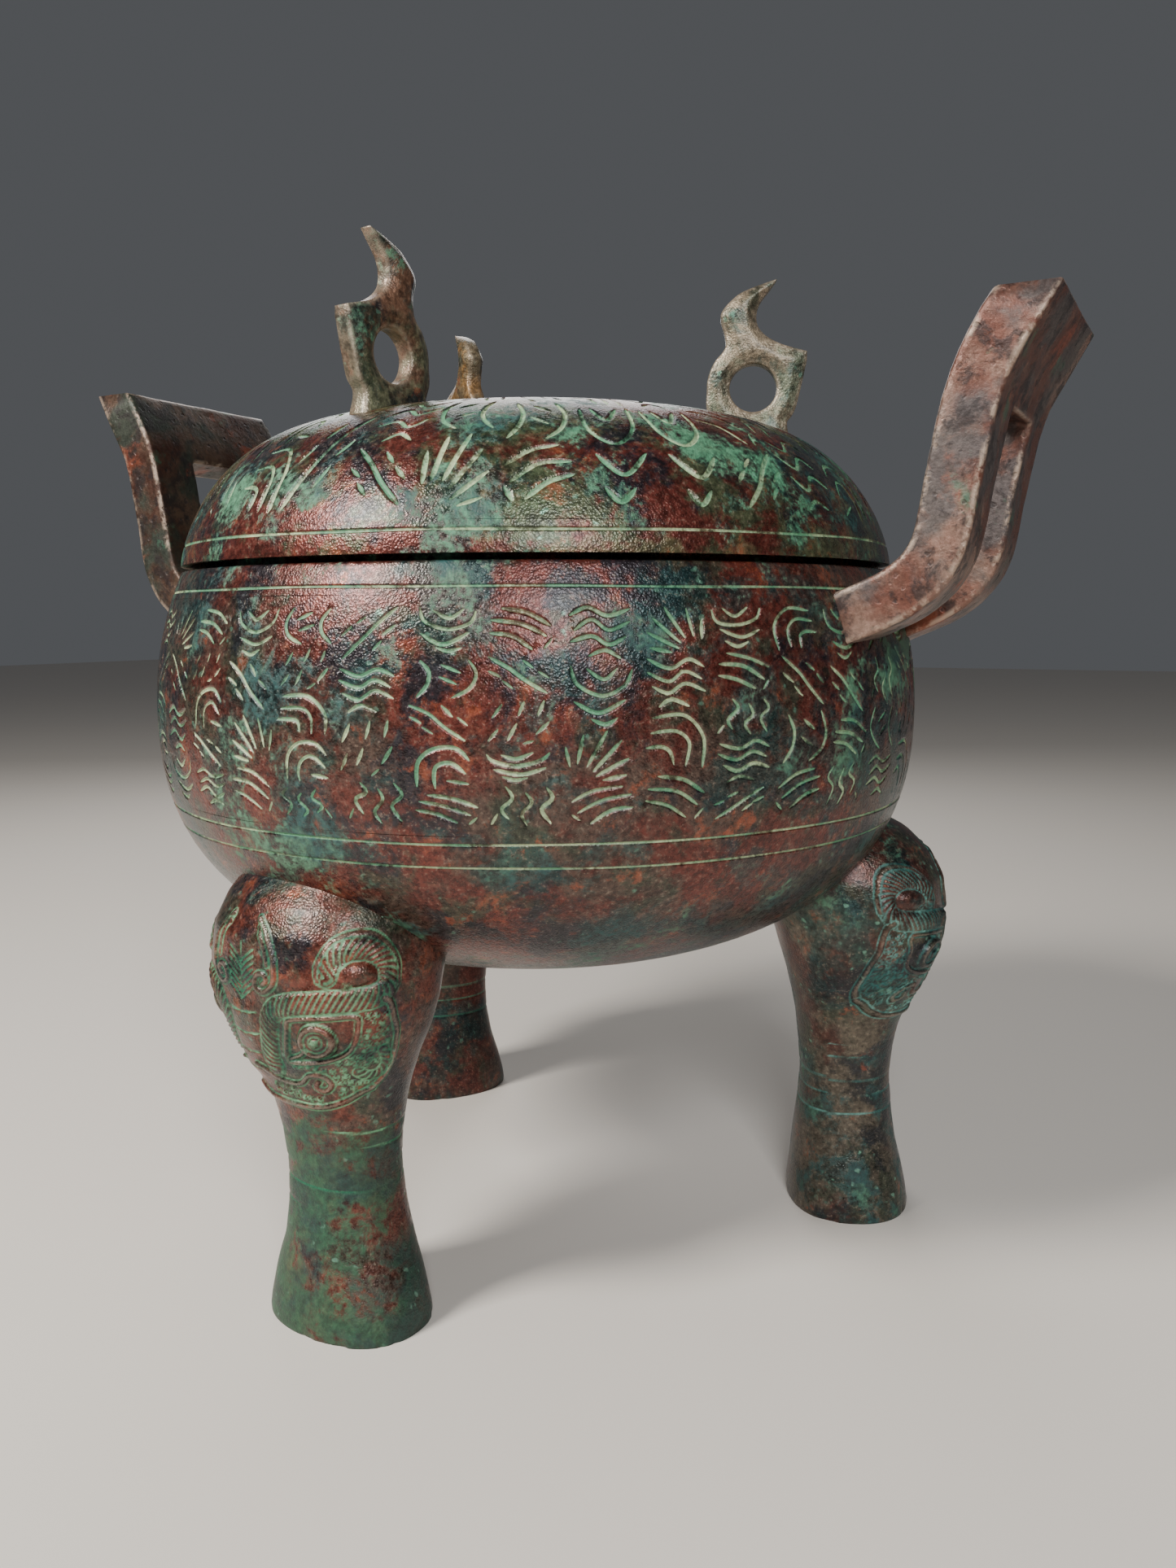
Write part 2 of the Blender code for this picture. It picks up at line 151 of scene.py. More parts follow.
@dataclass(frozen=True)
class LidProfile:
    """Outer form of the lid, from the crown to the edge."""

    radius_at_edge: float = 0.1500
    edge: float = 0.2836
    rise: float = 0.0616
    shoulder: float = 5.0
    crown: float = 1.45
    wall: float = 0.0036
    skirt: float = 0.0050
    skirt_wall: float = 0.0040

    def height(self, radius: float) -> float:
        """Height of the outer surface at a radius."""
        share = 1.0 - min(1.0, radius / self.radius_at_edge) ** self.shoulder
        return self.edge + self.rise * share ** (1.0 / self.crown)

    def outline(self, steps: int = 400) -> np.ndarray:
        """Radius and height along the surface, from the edge up to the crown.

        Args:
            steps: Number of points.

        Returns:
            The points, one to a row.
        """
        angles = np.linspace(math.pi / 2, 0.0, steps)
        radii = self.radius_at_edge * np.sin(angles) ** (2.0 / self.shoulder)
        radii[-1] = 0.0
        return np.array([(radius, self.height(radius)) for radius in radii])


BOWL = BowlProfile()
LID = LidProfile()
# Azimuth of each leg in degrees, and the radius in metres of its joint with the bowl
LEG_PLACES = ((23.7, 0.130), (143.7, 0.130), (264.4, 0.118))


# Lines and strokes in a flat pattern, in millimetres

def smooth_line(keys: list[tuple[float, float]], spacing: float, closed: bool = False) -> np.ndarray:
    """Points of a smooth curve through key points.

    Args:
        keys: Key points of the curve.
        spacing: Distance between points along it.
        closed: Whether the curve returns to its first key.

    Returns:
        The curve's points.
    """
    points = np.asarray(keys, float)
    if closed:
        points = np.vstack([points, points[:1]])
    fine = []
    last = len(points) - 1
    for index in range(last):
        before = points[index - 1] if index else (points[-2] if closed else points[0])
        start, end = points[index], points[index + 1]
        after = points[index + 2] if index + 2 <= last else (points[1] if closed else points[-1])
        for share in np.linspace(0.0, 1.0, 12, endpoint=False):
            fine.append(0.5 * (2 * start + (end - before) * share
                               + (2 * before - 5 * start + 4 * end - after) * share ** 2
                               + (3 * start - before - 3 * end + after) * share ** 3))
    fine.append(points[-1])
    fine = np.array(fine)
    steps = np.r_[0.0, np.cumsum(np.hypot(*np.diff(fine, axis=0).T))]
    count = max(2, int(round(steps[-1] / spacing)) + 1)
    even = np.linspace(0.0, steps[-1], count)
    return np.column_stack([np.interp(even, steps, fine[:, axis]) for axis in range(2)])


@dataclass
class Line:
    """A curve in a flat pattern that distances are measured to."""

    keys: list[tuple[float, float]]
    spacing: float = 1.0
    closed: bool = False
    points: np.ndarray = field(init=False)

    def __post_init__(self) -> None:
        """Work out the curve's points."""
        self.points = smooth_line(self.keys, self.spacing, self.closed)

    def measure(self, places: np.ndarray) -> tuple[np.ndarray, np.ndarray, np.ndarray]:
        """Distance, place along and signed side of the nearest point of the curve.

        Args:
            places: Points to measure from.

        Returns:
            Distance from the curve, length along it, and distance with the side's sign.
        """
        best = np.full(len(places), np.inf)
        along = np.zeros(len(places))
        side = np.zeros(len(places))
        start = 0.0
        for first, second in zip(self.points[:-1], self.points[1:]):
            run = second - first
            length = float(np.hypot(*run)) or 1e-9
            offset = places - first
            share = np.clip((offset @ run) / length ** 2, 0.0, 1.0)
            gap = offset - share[:, None] * run
            distance = np.hypot(gap[:, 0], gap[:, 1])
            nearer = distance < best
            best = np.where(nearer, distance, best)
            along = np.where(nearer, start + share * length, along)
            cross = run[0] * offset[:, 1] - run[1] * offset[:, 0]
            side = np.where(nearer, np.sign(cross) * distance, side)
            start += length
        return best, along, side

    @property
    def length(self) -> float:
        """Length of the curve."""
        return float(np.hypot(*np.diff(self.points, axis=0).T).sum())


def rise(value: np.ndarray, low: float, high: float) -> np.ndarray:
    """Smooth step from 0 at low to 1 at high."""
    share = np.clip((value - low) / (high - low), 0.0, 1.0)
    return share * share * (3 - 2 * share)


@dataclass
class Stroke:
    """An incised stroke that tapers towards both ends."""

    line: Line
    half_width: float
    depth: float
    taper: float = 0.45

    def cut(self, places: np.ndarray) -> np.ndarray:
        """Depth of the stroke at some places.

        Args:
            places: Places in the flat pattern.

        Returns:
            Depth in millimetres, below 0 on the raised rim.
        """
        distance, along, _ = self.line.measure(places)
        ends = np.minimum(along, self.line.length - along)
        full = self.taper + (1 - self.taper) * rise(ends, -0.5, 3.0)
        width = self.half_width * full
        share = np.clip(1.0 - distance / width, 0.0, 1.0)
        rim = np.exp(-((distance / width - 1.25) / 0.22) ** 2)
        return self.depth * full * (np.minimum(1.0, share * 1.9) * (0.75 + 0.25 * share) - 0.10 * rim)

    def seeds(self) -> np.ndarray:
        """Places along the stroke where its cross-section needs a point.

        Returns:
            The places, one to a row.
        """
        points = self.line.points
        ahead = np.gradient(points, axis=0)
        ahead /= np.maximum(np.hypot(ahead[:, 0], ahead[:, 1]), 1e-9)[:, None]
        across = np.column_stack([-ahead[:, 1], ahead[:, 0]])
        ends = np.minimum(np.arange(len(points)), np.arange(len(points))[::-1]) * self.line.spacing
        width = self.half_width * (self.taper + (1 - self.taper) * rise(ends, -0.5, 3.0))
        sides = (0, -0.5, 0.5, -1.0, 1.0, -1.6, 1.6)
        rows = [points + across * (width * share)[:, None] for share in sides]
        cap = self.half_width * 0.9
        rows.append(np.array([points[0] - ahead[0] * cap, points[-1] + ahead[-1] * cap]))
        return np.vstack(rows)


# Invented stroke groups

@dataclass
class StrokeWriter:
    """Draws groups of curved strokes that are no letters, from a seed."""

    seed: int
    half_width: float
    depth: float
    gap: float = 0.9
    tremor: float = 0.22
    spacing: float = 1.15
    chance: np.random.Generator = field(init=False)
    motifs: tuple[Callable[[], Keys], ...] = field(init=False)

    def __post_init__(self) -> None:
        """Start the random draws and list the motifs."""
        self.chance = np.random.default_rng(self.seed)
        self.motifs = (self.slopes, self.bows, self.reeds, self.feather, self.crooks, self.cups,
                       self.rain, self.waves, self.rays, self.rungs)

    def column(self, width: float, bottom: float, top: float, groups: int) -> list[Stroke]:
        """Strokes of one column.

        Args:
            width: Room across the column.
            bottom: Lower end of the column.
            top: Upper end of the column.
            groups: Number of groups, one below the other.

        Returns:
            The strokes.
        """
        shares = 1.0 + self.tremor * self.chance.uniform(-1, 1, groups)
        edges = top - (top - bottom) * np.r_[0.0, np.cumsum(shares) / shares.sum()]
        strokes = []
        order = self.chance.permutation(len(self.motifs))[:groups]
        for index, motif in enumerate(order):
            high, low = edges[index] - self.gap, edges[index + 1] + self.gap
            middle = self.chance.uniform(-0.06, 0.06) * width
            flip = self.chance.choice([-1, 1])
            for keys in self.motifs[motif]():
                points = [(middle + flip * across * width * 0.98, low + (high - low) * up)
                          for across, up in keys]
                points = [(x + self.chance.normal(0, self.tremor), y + self.chance.normal(0, self.tremor))
                          for x, y in points]
                line = Line(points, self.spacing)
                half_width = self.half_width * self.chance.uniform(0.88, 1.12)
                strokes.append(Stroke(line, half_width, self.depth * self.chance.uniform(0.85, 1.1)))
        return strokes

    def sway(self, amount: float = 0.06) -> float:
        """Small random shift."""
        return float(self.chance.uniform(-amount, amount))

    def slopes(self) -> Keys:
        """Three bowed strokes that climb side by side, with a tick."""
        return [[(-.48, .60), (-.12, .88), (.30, .96)], [(-.38, .34), (.0, .62), (.46, .72 + self.sway())],
                [(-.18, .08), (.14, .34), (.48, .44)], [(-.48, .26), (-.36, .06)]]

    def bows(self) -> Keys:
        """Three bows, one within the other, open to one side."""
        return [[(-.46, .02), (-.48, .54), (-.14, .94), (.36, .92)],
                [(-.20, .05), (-.22, .44), (.0, .68), (.40, .64)],
                [(.04, .06), (.06, .30), (.22, .42 + self.sway()), (.46, .38)]]

    def reeds(self) -> Keys:
        """Three tall wavering strokes of unlike length."""
        return [[(-.36, .96), (-.47, .70), (-.30, .44), (-.42, .06)],
                [(-.06, .84), (-.14, .56), (.02, .30), (-.08, .02)],
                [(.24, .98), (.14, .72), (.34, .46 + self.sway()), (.22, .20)], [(.40, .28), (.49, .08)]]

    def feather(self) -> Keys:
        """Long slanting bow with loose barbs beside it."""
        return [[(-.42, .03), (-.10, .38), (.16, .70), (.46, .98)], [(-.46, .44), (-.30, .62)],
                [(-.22, .70), (-.06, .88 + self.sway())], [(.10, .20), (.26, .38)],
                [(.28, .48), (.47, .64)]]

    def crooks(self) -> Keys:
        """Two bent stems, one under the other, with a tick."""
        return [[(.44, .70), (.22, .95), (-.14, .92), (-.36, .62), (-.40, .06)],
                [(.38, .38), (.16, .64), (-.06, .54), (-.14, .28), (-.12, .02)],
                [(.12, .20), (.42, .10 + self.sway())]]

    def cups(self) -> Keys:
        """Four hanging bows of falling width."""
        return [[(-.47, .96), (-.36, .66), (.02, .50), (.38, .64), (.48, .92)],
                [(-.22, .94), (.04, .76), (.26, .94)],
                [(-.40, .40), (-.04, .22), (.36, .38 + self.sway())], [(-.14, .12), (.06, .02), (.26, .12)]]

    def rain(self) -> Keys:
        """Loose short strokes that fall the same way."""
        return [[(-.38, .96), (-.30, .70)], [(-.06, .98), (.02, .66)], [(.28, .90), (.40, .60)],
                [(-.44, .52), (-.26, .24)],
                [(.06, .48), (.18, .16 + self.sway())], [(-.20, .12), (-.06, .02)],
                [(.34, .36), (.47, .10)]]

    def waves(self) -> Keys:
        """Three low waves over a short bow."""
        return [[(-.48, .82), (-.20, .97), (.10, .80), (.46, .94)],
                [(-.42, .58), (-.14, .72), (.14, .55), (.48, .70)],
                [(-.48, .32), (-.16, .46 + self.sway()), (.12, .28), (.40, .42)],
                [(-.20, .06), (.06, .16), (.30, .04)]]

    def rays(self) -> Keys:
        """Loose rays that spread from one corner."""
        return [[(-.42, .28), (-.48, .70)], [(-.30, .34), (-.20, .92)], [(-.14, .30), (.16, .96)],
                [(-.06, .20), (.38, .76 + self.sway())], [(-.02, .08), (.48, .42)], [(.10, .0), (.44, .08)]]

    def rungs(self) -> Keys:
        """Two long bows bent the same way with slanting ticks between."""
        return [[(-.34, .98), (-.48, .60), (-.38, .24), (-.10, .02)],
                [(.40, .96), (.26, .62), (.30, .30), (.48, .04)],
                [(-.22, .66), (.06, .84)], [(-.16, .34), (.12, .50 + self.sway())]]


# Mesh making

def place_noise(points: np.ndarray, scale: float, octaves: int = 2) -> np.ndarray:
    """Smooth noise between about -1 and 1 at points in metres.

    Args:
        points: Points, one to a row.
        scale: Waves in a metre.
        octaves: Layers of finer noise.

    Returns:
        One value for each point.
    """
    return np.array([noise.fractal(Vector(point) * scale, 1.0, 2.0, octaves) for point in points])


def joint_nearness(points: np.ndarray) -> np.ndarray:
    """How near points of the bowl lie to a leg or a handle.

    Args:
        points: Points in metres round the bowl's axis.

    Returns:
        Values from 0, far off, to 1.
    """
    near = np.zeros(len(points))
    for azimuth, circle in LEG_PLACES:
        turn = math.radians(azimuth)
        out = points[:, 0] * math.cos(turn) + points[:, 1] * math.sin(turn)
        side = points[:, 1] * math.cos(turn) - points[:, 0] * math.sin(turn)
        gap = np.maximum(np.hypot((out - circle) / 0.93, side / 1.07) - 0.042, 0.0)
        near = np.maximum(near, np.exp(-(gap / 0.009) ** 2))
    across = np.maximum(np.abs(points[:, 1]) - 0.045, 0.0)
    level = np.maximum(np.abs(points[:, 2] - 0.250) - 0.008, 0.0)
    beside = np.exp(-(np.hypot(across, level) / 0.009) ** 2) * (np.abs(points[:, 0]) > 0.13)
    return np.maximum(near, beside)


@dataclass
class MeshBuilder:
    """Collects points, faces and vertex values of one piece."""

    name: str
    points: list[np.ndarray] = field(default_factory=list)
    faces: list[tuple[int, ...]] = field(default_factory=list)
    values: dict[Channel, list[np.ndarray]] = field(
        default_factory=lambda: {Channel.GROOVE: [], Channel.WEAR: []})
    count: int = 0

    def add_points(self, points: np.ndarray, groove: float | np.ndarray = 0.0,
                   wear: float | np.ndarray = 0.0) -> int:
        """Add points with their values and return the first one's number.

        Args:
            points: Points, one to a row.
            groove: Groove value of all or of each.
            wear: Wear value of all or of each; on the rims of incised strokes it is partly painted
                highlight.

        Returns:
            The number of the first point.
        """
        first = self.count
        size = len(points)
        self.points.append(np.asarray(points, float))
        self.values[Channel.GROOVE].append(np.broadcast_to(np.asarray(groove, float), size).copy())
        self.values[Channel.WEAR].append(np.broadcast_to(np.asarray(wear, float), size).copy())
        self.count += size
        return first

    def add_grid(self, grid: np.ndarray, groove: float | np.ndarray = 0.0,
                 wear: float | np.ndarray = 0.0, wrap: bool = False) -> int:
        """Add a grid of points and its faces.

        Args:
            grid: Points as rows by columns by three.
            groove: Groove value or one for each point of the grid.
            wear: Wear value or one for each point of the grid.
            wrap: Whether the last column joins the first.

        Returns:
            The number of the grid's first point.
        """
        rows, columns = grid.shape[:2]
        groove = np.broadcast_to(groove, (rows, columns)).reshape(-1)
        wear = np.broadcast_to(wear, (rows, columns)).reshape(-1)
        first = self.add_points(grid.reshape(-1, 3), groove, wear)
        reach = columns if wrap else columns - 1
        for row in range(rows - 1):
            low, high = first + row * columns, first + (row + 1) * columns
            for column in range(reach):
                after = (column + 1) % columns
                self.faces.append((low + column, low + after, high + after, high + column))
        return first

    def add_fan(self, ring: list[int], centre: tuple[float, float, float]) -> None:
        """Close a ring of points with a fan to a centre.

        Args:
            ring: Numbers of the ring's points.
            centre: Point in the middle.
        """
        middle = self.add_points(np.array([centre]))
        for here, after in zip(ring, ring[1:] + ring[:1]):
            self.faces.append((here, after, middle))

    def build(self, shift: Vector, merge: float = 0.02 * MM) -> bpy.types.Object:
        """Make the object, with shared points merged and every face turned outwards.

        Args:
            shift: Place of the bowl's axis in the frame.
            merge: Distance within which points are one.

        Returns:
            The object.
        """
        points = np.vstack(self.points) + np.array(shift)
        keys = np.round(points / merge).astype(np.int64)
        _, chosen, numbers = np.unique(keys, axis=0, return_index=True, return_inverse=True)
        numbers = numbers.reshape(-1)
        faces = []
        seen = set()
        for face in self.faces:
            corners = [int(numbers[corner]) for corner in face]
            corners = [corner for place, corner in enumerate(corners) if corner != corners[place - 1]]
            if len(set(corners)) == len(corners) and len(corners) >= 3:
                key = tuple(sorted(corners))
                if key not in seen:
                    seen.add(key)
                    faces.append(corners)
        mesh = bpy.data.meshes.new(self.name)
        mesh.from_pydata(points[chosen].tolist(), [], faces)
        for channel, values in self.values.items():
            layer = mesh.attributes.new(channel.value, "FLOAT", "POINT")
            layer.data.foreach_set("value", np.concatenate(values)[chosen].astype(np.float32))
        damp = joint_nearness(points[chosen] - np.array(shift))
        layer = mesh.attributes.new(Channel.DAMP.value, "FLOAT", "POINT")
        layer.data.foreach_set("value", damp.astype(np.float32))
        shape = bmesh.new()
        shape.from_mesh(mesh)
        bmesh.ops.recalc_face_normals(shape, faces=shape.faces)
        loose = [vert for vert in shape.verts if not vert.link_faces]
        bmesh.ops.delete(shape, geom=loose, context="VERTS")
        shape.to_mesh(mesh)
        shape.free()
        mesh.shade_smooth()
        made = bpy.data.objects.new(self.name, mesh)
        bpy.context.scene.collection.objects.link(made)
        return made


@dataclass
class TurnedRelief:
    """Surface of revolution with engraved panels between plain rows.

    Attributes:
        builder: Where the mesh goes.
        profile: Radius and height in metres along the surface, as a fine polyline.
        panels: Number of engraved panels round the axis.
        steps: Steps round the axis in each panel.
        turn: Angle that the first panel starts from.
        skin: How far the surface lies inside the profile, in millimetres.
        reach: Half the length that a normal is measured over, in millimetres.
        along: Lengths along the profile, in millimetres.
    """

    builder: MeshBuilder
    profile: np.ndarray
    panels: int
    steps: int
    turn: float = 0.0
    skin: float = 0.10
    reach: float = 0.4
    along: np.ndarray = field(init=False)

    def __post_init__(self) -> None:
        """Measure lengths along the profile."""
        runs = np.hypot(*np.diff(self.profile, axis=0).T) / MM
        self.along = np.r_[0.0, np.cumsum(runs)]

    def at(self, run: np.ndarray) -> tuple[np.ndarray, np.ndarray, np.ndarray]:
        """Radius, height and outward normal at lengths along the profile in millimetres.

        Args:
            run: Lengths along the profile.

        Returns:
            Radius, height and normal.
        """
        run = np.asarray(run, float)
        radius = np.interp(run, self.along, self.profile[:, 0])
        height = np.interp(run, self.along, self.profile[:, 1])
        ahead = [np.interp(run + self.reach, self.along, self.profile[:, axis])
                 - np.interp(run - self.reach, self.along, self.profile[:, axis]) for axis in range(2)]
        size = np.maximum(np.hypot(*ahead), 1e-12)
        normal = np.column_stack([ahead[1] / size, -ahead[0] / size])
        return radius - self.skin * normal[:, 0] * MM, height - self.skin * normal[:, 1] * MM, normal

    def place(self, azimuth: np.ndarray, run: np.ndarray, depth: np.ndarray) -> np.ndarray:
        """Points at an azimuth, a length along the profile and a depth in millimetres.

        Args:
            azimuth: Azimuth of each point.
            run: Length along the profile of each.
            depth: Depth under the surface of each.

        Returns:
            The points in metres.
        """
        radius, height, normal = self.at(run)
        reach = radius - normal[:, 0] * depth * MM
        level = height - normal[:, 1] * depth * MM
        return np.column_stack([reach * np.cos(azimuth), reach * np.sin(azimuth), level])

    def azimuths(self) -> np.ndarray:
        """Azimuths of the columns of points."""
        return self.turn + 2 * math.pi * np.arange(self.panels * self.steps) / (self.panels * self.steps)

    def run_at(self, height: float) -> float:
        """Length along the profile at a height, for a profile that only rises."""
        return float(np.interp(height, self.profile[:, 1], self.along))

    def rows(self, runs: list[float], grooves: list[tuple[float, float, float]]) -> None:
        """Plain rows with wavering incised lines.

        Args:
            runs: Lengths along the profile where rows lie.
            grooves: Place, half width and depth of each line.
        """
        stations = list(runs)
        for centre, half, _ in grooves:
            stations = [run for run in stations if abs(run - centre) > half * 1.8]
            stations += [centre + half * share for share in (-1.5, -1.0, -0.5, 0.0, 0.5, 1.0, 1.5)]
        stations = np.array(sorted(stations))
        run, turn = np.meshgrid(stations, self.azimuths(), indexing="ij")
        depth = np.zeros_like(run)
        for centre, half, deep in grooves:
            waver = 0.16 * np.sin(3 * turn + centre) + 0.11 * np.sin(11 * turn + 2 * centre)
            near = rise(4.0 - np.abs(run - centre), 0.0, 1.0)
            strength = 0.86 + 0.14 * np.sin(17 * turn + centre)
            cut = deep * strength * np.clip(1.25 * (1 - np.abs(run - centre) / half), 0, 1)
            depth = np.maximum(depth, cut)
            run = run + waver * near
        edge = np.isin(run, [stations[0], stations[-1]])
        depth = np.where(edge, 0.0, depth)
        points = self.place(turn.ravel(), run.ravel(), depth.ravel()).reshape(*run.shape, 3)
        self.builder.add_grid(points, np.clip(depth / 0.5, 0, 1), wrap=True)

    def panel(self, index: int, low: float, high: float, strokes: list[Stroke]) -> None:
        """One engraved panel, triangulated along its strokes.

        Args:
            index: Number of the panel round the axis.
            low: Lower end along the profile, in millimetres.
            high: Upper end along the profile, in millimetres.
            strokes: Strokes in millimetres, across from the panel's middle and along the profile.
        """
        radius, _, _ = self.at([(low + high) / 2])
        width = 2 * math.pi * float(radius[0]) / MM / self.panels
        cell, row_gap, rim_gap, clear = 3.1, 2.9, 3.2, 1.2
        rim = [(width * (step / self.steps - 0.5), level) for level in (low, high)
               for step in range(self.steps + 1)]
        count = max(2, int(round((high - low) / rim_gap)))
        rim += [(side * width / 2, low + (high - low) * step / count) for step in range(1, count)
                for side in (-1, 1)]
        inner = [stroke.seeds() for stroke in strokes]
        inner = np.vstack(inner) if inner else np.zeros((0, 2))
        margin = 0.7
        inside = ((np.abs(inner[:, 0]) < width / 2 - margin)
                  & (inner[:, 1] > low + margin) & (inner[:, 1] < high - margin))
        inner = inner[inside]
        cells = np.round(inner / 0.25).astype(int)
        _, first = np.unique(cells, axis=0, return_index=True)
        inner = inner[np.sort(first)]
        grid = np.array([(across + (0.5 if row % 2 else 0.0) * cell, low + 1.6 + row * row_gap)
                         for row in range(int((high - low - 2) / row_gap) + 1)
                         for across in np.arange(-width / 2 + 1.6, width / 2 - 1.4, cell)])
        grid = grid[(np.abs(grid[:, 0]) < width / 2 - clear) & (grid[:, 1] < high - clear)]
        if len(inner):
            gap = np.hypot(grid[:, None, 0] - inner[None, :, 0], grid[:, None, 1] - inner[None, :, 1])
            grid = grid[gap.min(axis=1) > 1.5]
        flat = np.vstack([np.array(rim), inner, grid])
        corners = [Vector(point) for point in flat]
        result = delaunay_2d_cdt(corners, [], [], 0, 1e-5, False)
        flat = np.array([point[:] for point in result[0]])
        depth = np.full(len(flat), -1.0)
        for stroke in strokes:
            depth = np.maximum(depth, stroke.cut(flat))
        depth = np.where(depth < -0.5, 0.0, depth)
        border = ((np.abs(np.abs(flat[:, 0]) - width / 2) < 1e-4)
                  | (np.abs(flat[:, 1] - low) < 1e-4) | (np.abs(flat[:, 1] - high) < 1e-4))
        depth = np.where(border, 0.0, depth)
        azimuth = self.turn + 2 * math.pi * (index + 0.5 + flat[:, 0] / width) / self.panels
        points = self.place(azimuth, flat[:, 1], depth)
        # The raised rims of the strokes get a wear value, so they are painted pale: partly wear, partly
        # painted highlight along the rims.
        first = self.builder.add_points(points, np.clip(depth / 0.45, 0, 1), np.clip(-depth / 0.06, 0, 1))
        for triangle in result[2]:
            self.builder.faces.append(tuple(first + corner for corner in triangle))


# Pieces of the vessel

@dataclass
class Piece:
    """One visible piece of a casting."""

    name: str
    casting: Casting = field(default=Casting.VESSEL, kw_only=True)

    def fill(self, builder: MeshBuilder) -> None:
        """Add the piece's mesh to a builder."""
        raise NotImplementedError

    def make(self, shift: Vector, finish: bpy.types.Material) -> bpy.types.Object:
        """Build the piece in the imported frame.

        Args:
            shift: Place of the bowl's axis in the frame.
            finish: Material of the piece.

        Returns:
            The piece.
        """
        builder = MeshBuilder(self.name)
        self.fill(builder)
        made = builder.build(shift)
        made.data.materials.append(finish)
        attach(made, "root")
        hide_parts(self.casting.value)
        LOG.info("%s: %d faces", self.name, len(made.data.polygons))
        return made


@dataclass
class Bowl(Piece):
    """Round bowl with its engraved band, lip and upstanding flange."""

    panels: int = 40
    steps: int = 7
    start: float = math.radians(-3.5)
    band: tuple[float, float] = (0.1925, 0.2702)
    line_heights: tuple[float, ...] = (0.2730, 0.1895, 0.1811)
    flange_radius: float = 0.1454
    flange_wall: float = 0.0042
    flange_top: float = 0.2880
    groove_half: float = 0.70
    groove_depth: float = 0.62
    lip_rows: tuple[float, ...] = (5.5, 3.5, 2.0, 0.8)
    first_row: float = 18.0
    row_gap: float = 6.5
    column_share: float = 0.84
    four_groups: float = 0.75
    margin: float = 3.0

    def profile(self) -> np.ndarray:
        """Fine outer profile from the bottom up to the lip.

        Returns:
            Radius and height of its points.
        """
        angles = np.linspace(math.pi / 2, 0.0, 260)
        power, depth = 2 / BOWL.fullness, BOWL.belly_height - BOWL.bottom
        low = [(BOWL.belly_radius * max(0.0, math.cos(angle)) ** power,
                BOWL.belly_height - depth * math.sin(angle) ** power) for angle in angles]
        low[0] = (0.0, BOWL.bottom)
        heights = np.linspace(BOWL.belly_height, BOWL.lip_height, 60)[1:]
        return np.array(low + [(BOWL.radius(height), height) for height in heights])

    def fill(self, builder: MeshBuilder) -> None:
        """Add the wall, the engraved band, the lip and the inside.

        Args:
            builder: Where the mesh goes.
        """
        wall = TurnedRelief(builder, self.profile(), self.panels, self.steps, self.start)
        low, high = (wall.run_at(height) for height in self.band)
        top = wall.run_at(BOWL.lip_height)
        lines = [wall.run_at(height) for height in self.line_heights]
        grooves = [(line, self.groove_half, self.groove_depth) for line in lines]
        wall.rows([high, high + 1.0] + [top - drop for drop in self.lip_rows], grooves[:1])
        lowest = lines[2]
        under = [self.first_row + self.row_gap * step for step in range(60)]
        under = [run for run in under if run < lowest - 3] + [lowest - 2.4, lowest + 2.6, low]
        wall.rows(under, grooves[1:])
        writer = StrokeWriter(907, 0.86, 0.85)
        room = 2 * math.pi * BOWL.belly_radius / MM / self.panels * self.column_share
        for index in range(self.panels):
            groups = 4 if writer.chance.random() < self.four_groups else 5
            wall.panel(index, low, high,
                       writer.column(room, low + self.margin, high - self.margin, groups))
        self.close(builder, wall, under[0], top)

    def close(self, builder: MeshBuilder, wall: TurnedRelief, start: float, top: float) -> None:
        """Add the bottom's middle, the lip, the flange and the inner wall.

        Args:
            builder: Where the mesh goes.
            wall: The engraved wall.
            start: Length along the profile where the wall starts.
            top: Length along the profile at the lip.
        """
        azimuth = wall.azimuths()
        rings = [(float(radius), float(height)) for radius, height, _ in
                 (wall.at([run]) for run in (start, start * 0.6, start * 0.25))]
        self.turn(builder, rings, azimuth, BOWL.bottom)
        edge_radius, edge_height, _ = wall.at([top - self.lip_rows[-1]])
        throat = self.flange_radius - self.flange_wall
        inner = [(float(edge_radius[0]), float(edge_height[0])),
                 (BOWL.lip_radius - 0.0002, BOWL.lip_height - 0.0002),
                 (BOWL.lip_radius - 0.0009, BOWL.lip_height), (self.flange_radius, BOWL.lip_height),
                 (self.flange_radius, self.flange_top - 0.0004),
                 (self.flange_radius - 0.0006, self.flange_top),
                 (throat + 0.0006, self.flange_top), (throat, self.flange_top - 0.0006),
                 (throat, BOWL.lip_height - BOWL.wall)]
        for angle in np.linspace(0.02, 1.0, 14)[:-1] * math.pi / 2:
            inner.append(((BOWL.belly_radius - BOWL.wall) * math.cos(angle) ** (2 / BOWL.fullness),
                          BOWL.belly_height - (BOWL.belly_height - BOWL.bottom - BOWL.wall)
                          * math.sin(angle) ** (2 / BOWL.fullness)))
        inner.insert(9, (BOWL.radius(0.262) - BOWL.wall, 0.262))
        inner.insert(10, (BOWL.radius(0.244) - BOWL.wall, 0.244))
        self.turn(builder, inner, azimuth, BOWL.bottom + BOWL.wall)

    @staticmethod
    def turn(builder: MeshBuilder, rings: list[tuple[float, float]], azimuth: np.ndarray,
             pole: float) -> None:
        """Turn a plain profile and close it with a fan.

        Args:
            builder: Where the mesh goes.
            rings: Radius and height of each ring.
            azimuth: Azimuths of the columns.
            pole: Height of the fan's centre.
        """
        grid = np.array([[(radius * math.cos(turn), radius * math.sin(turn), height) for turn in azimuth]
                         for radius, height in rings])
        first = builder.add_grid(grid, wrap=True)
        last = first + (len(rings) - 1) * len(azimuth)
        builder.add_fan(list(range(last, last + len(azimuth))), (0.0, 0.0, pole))


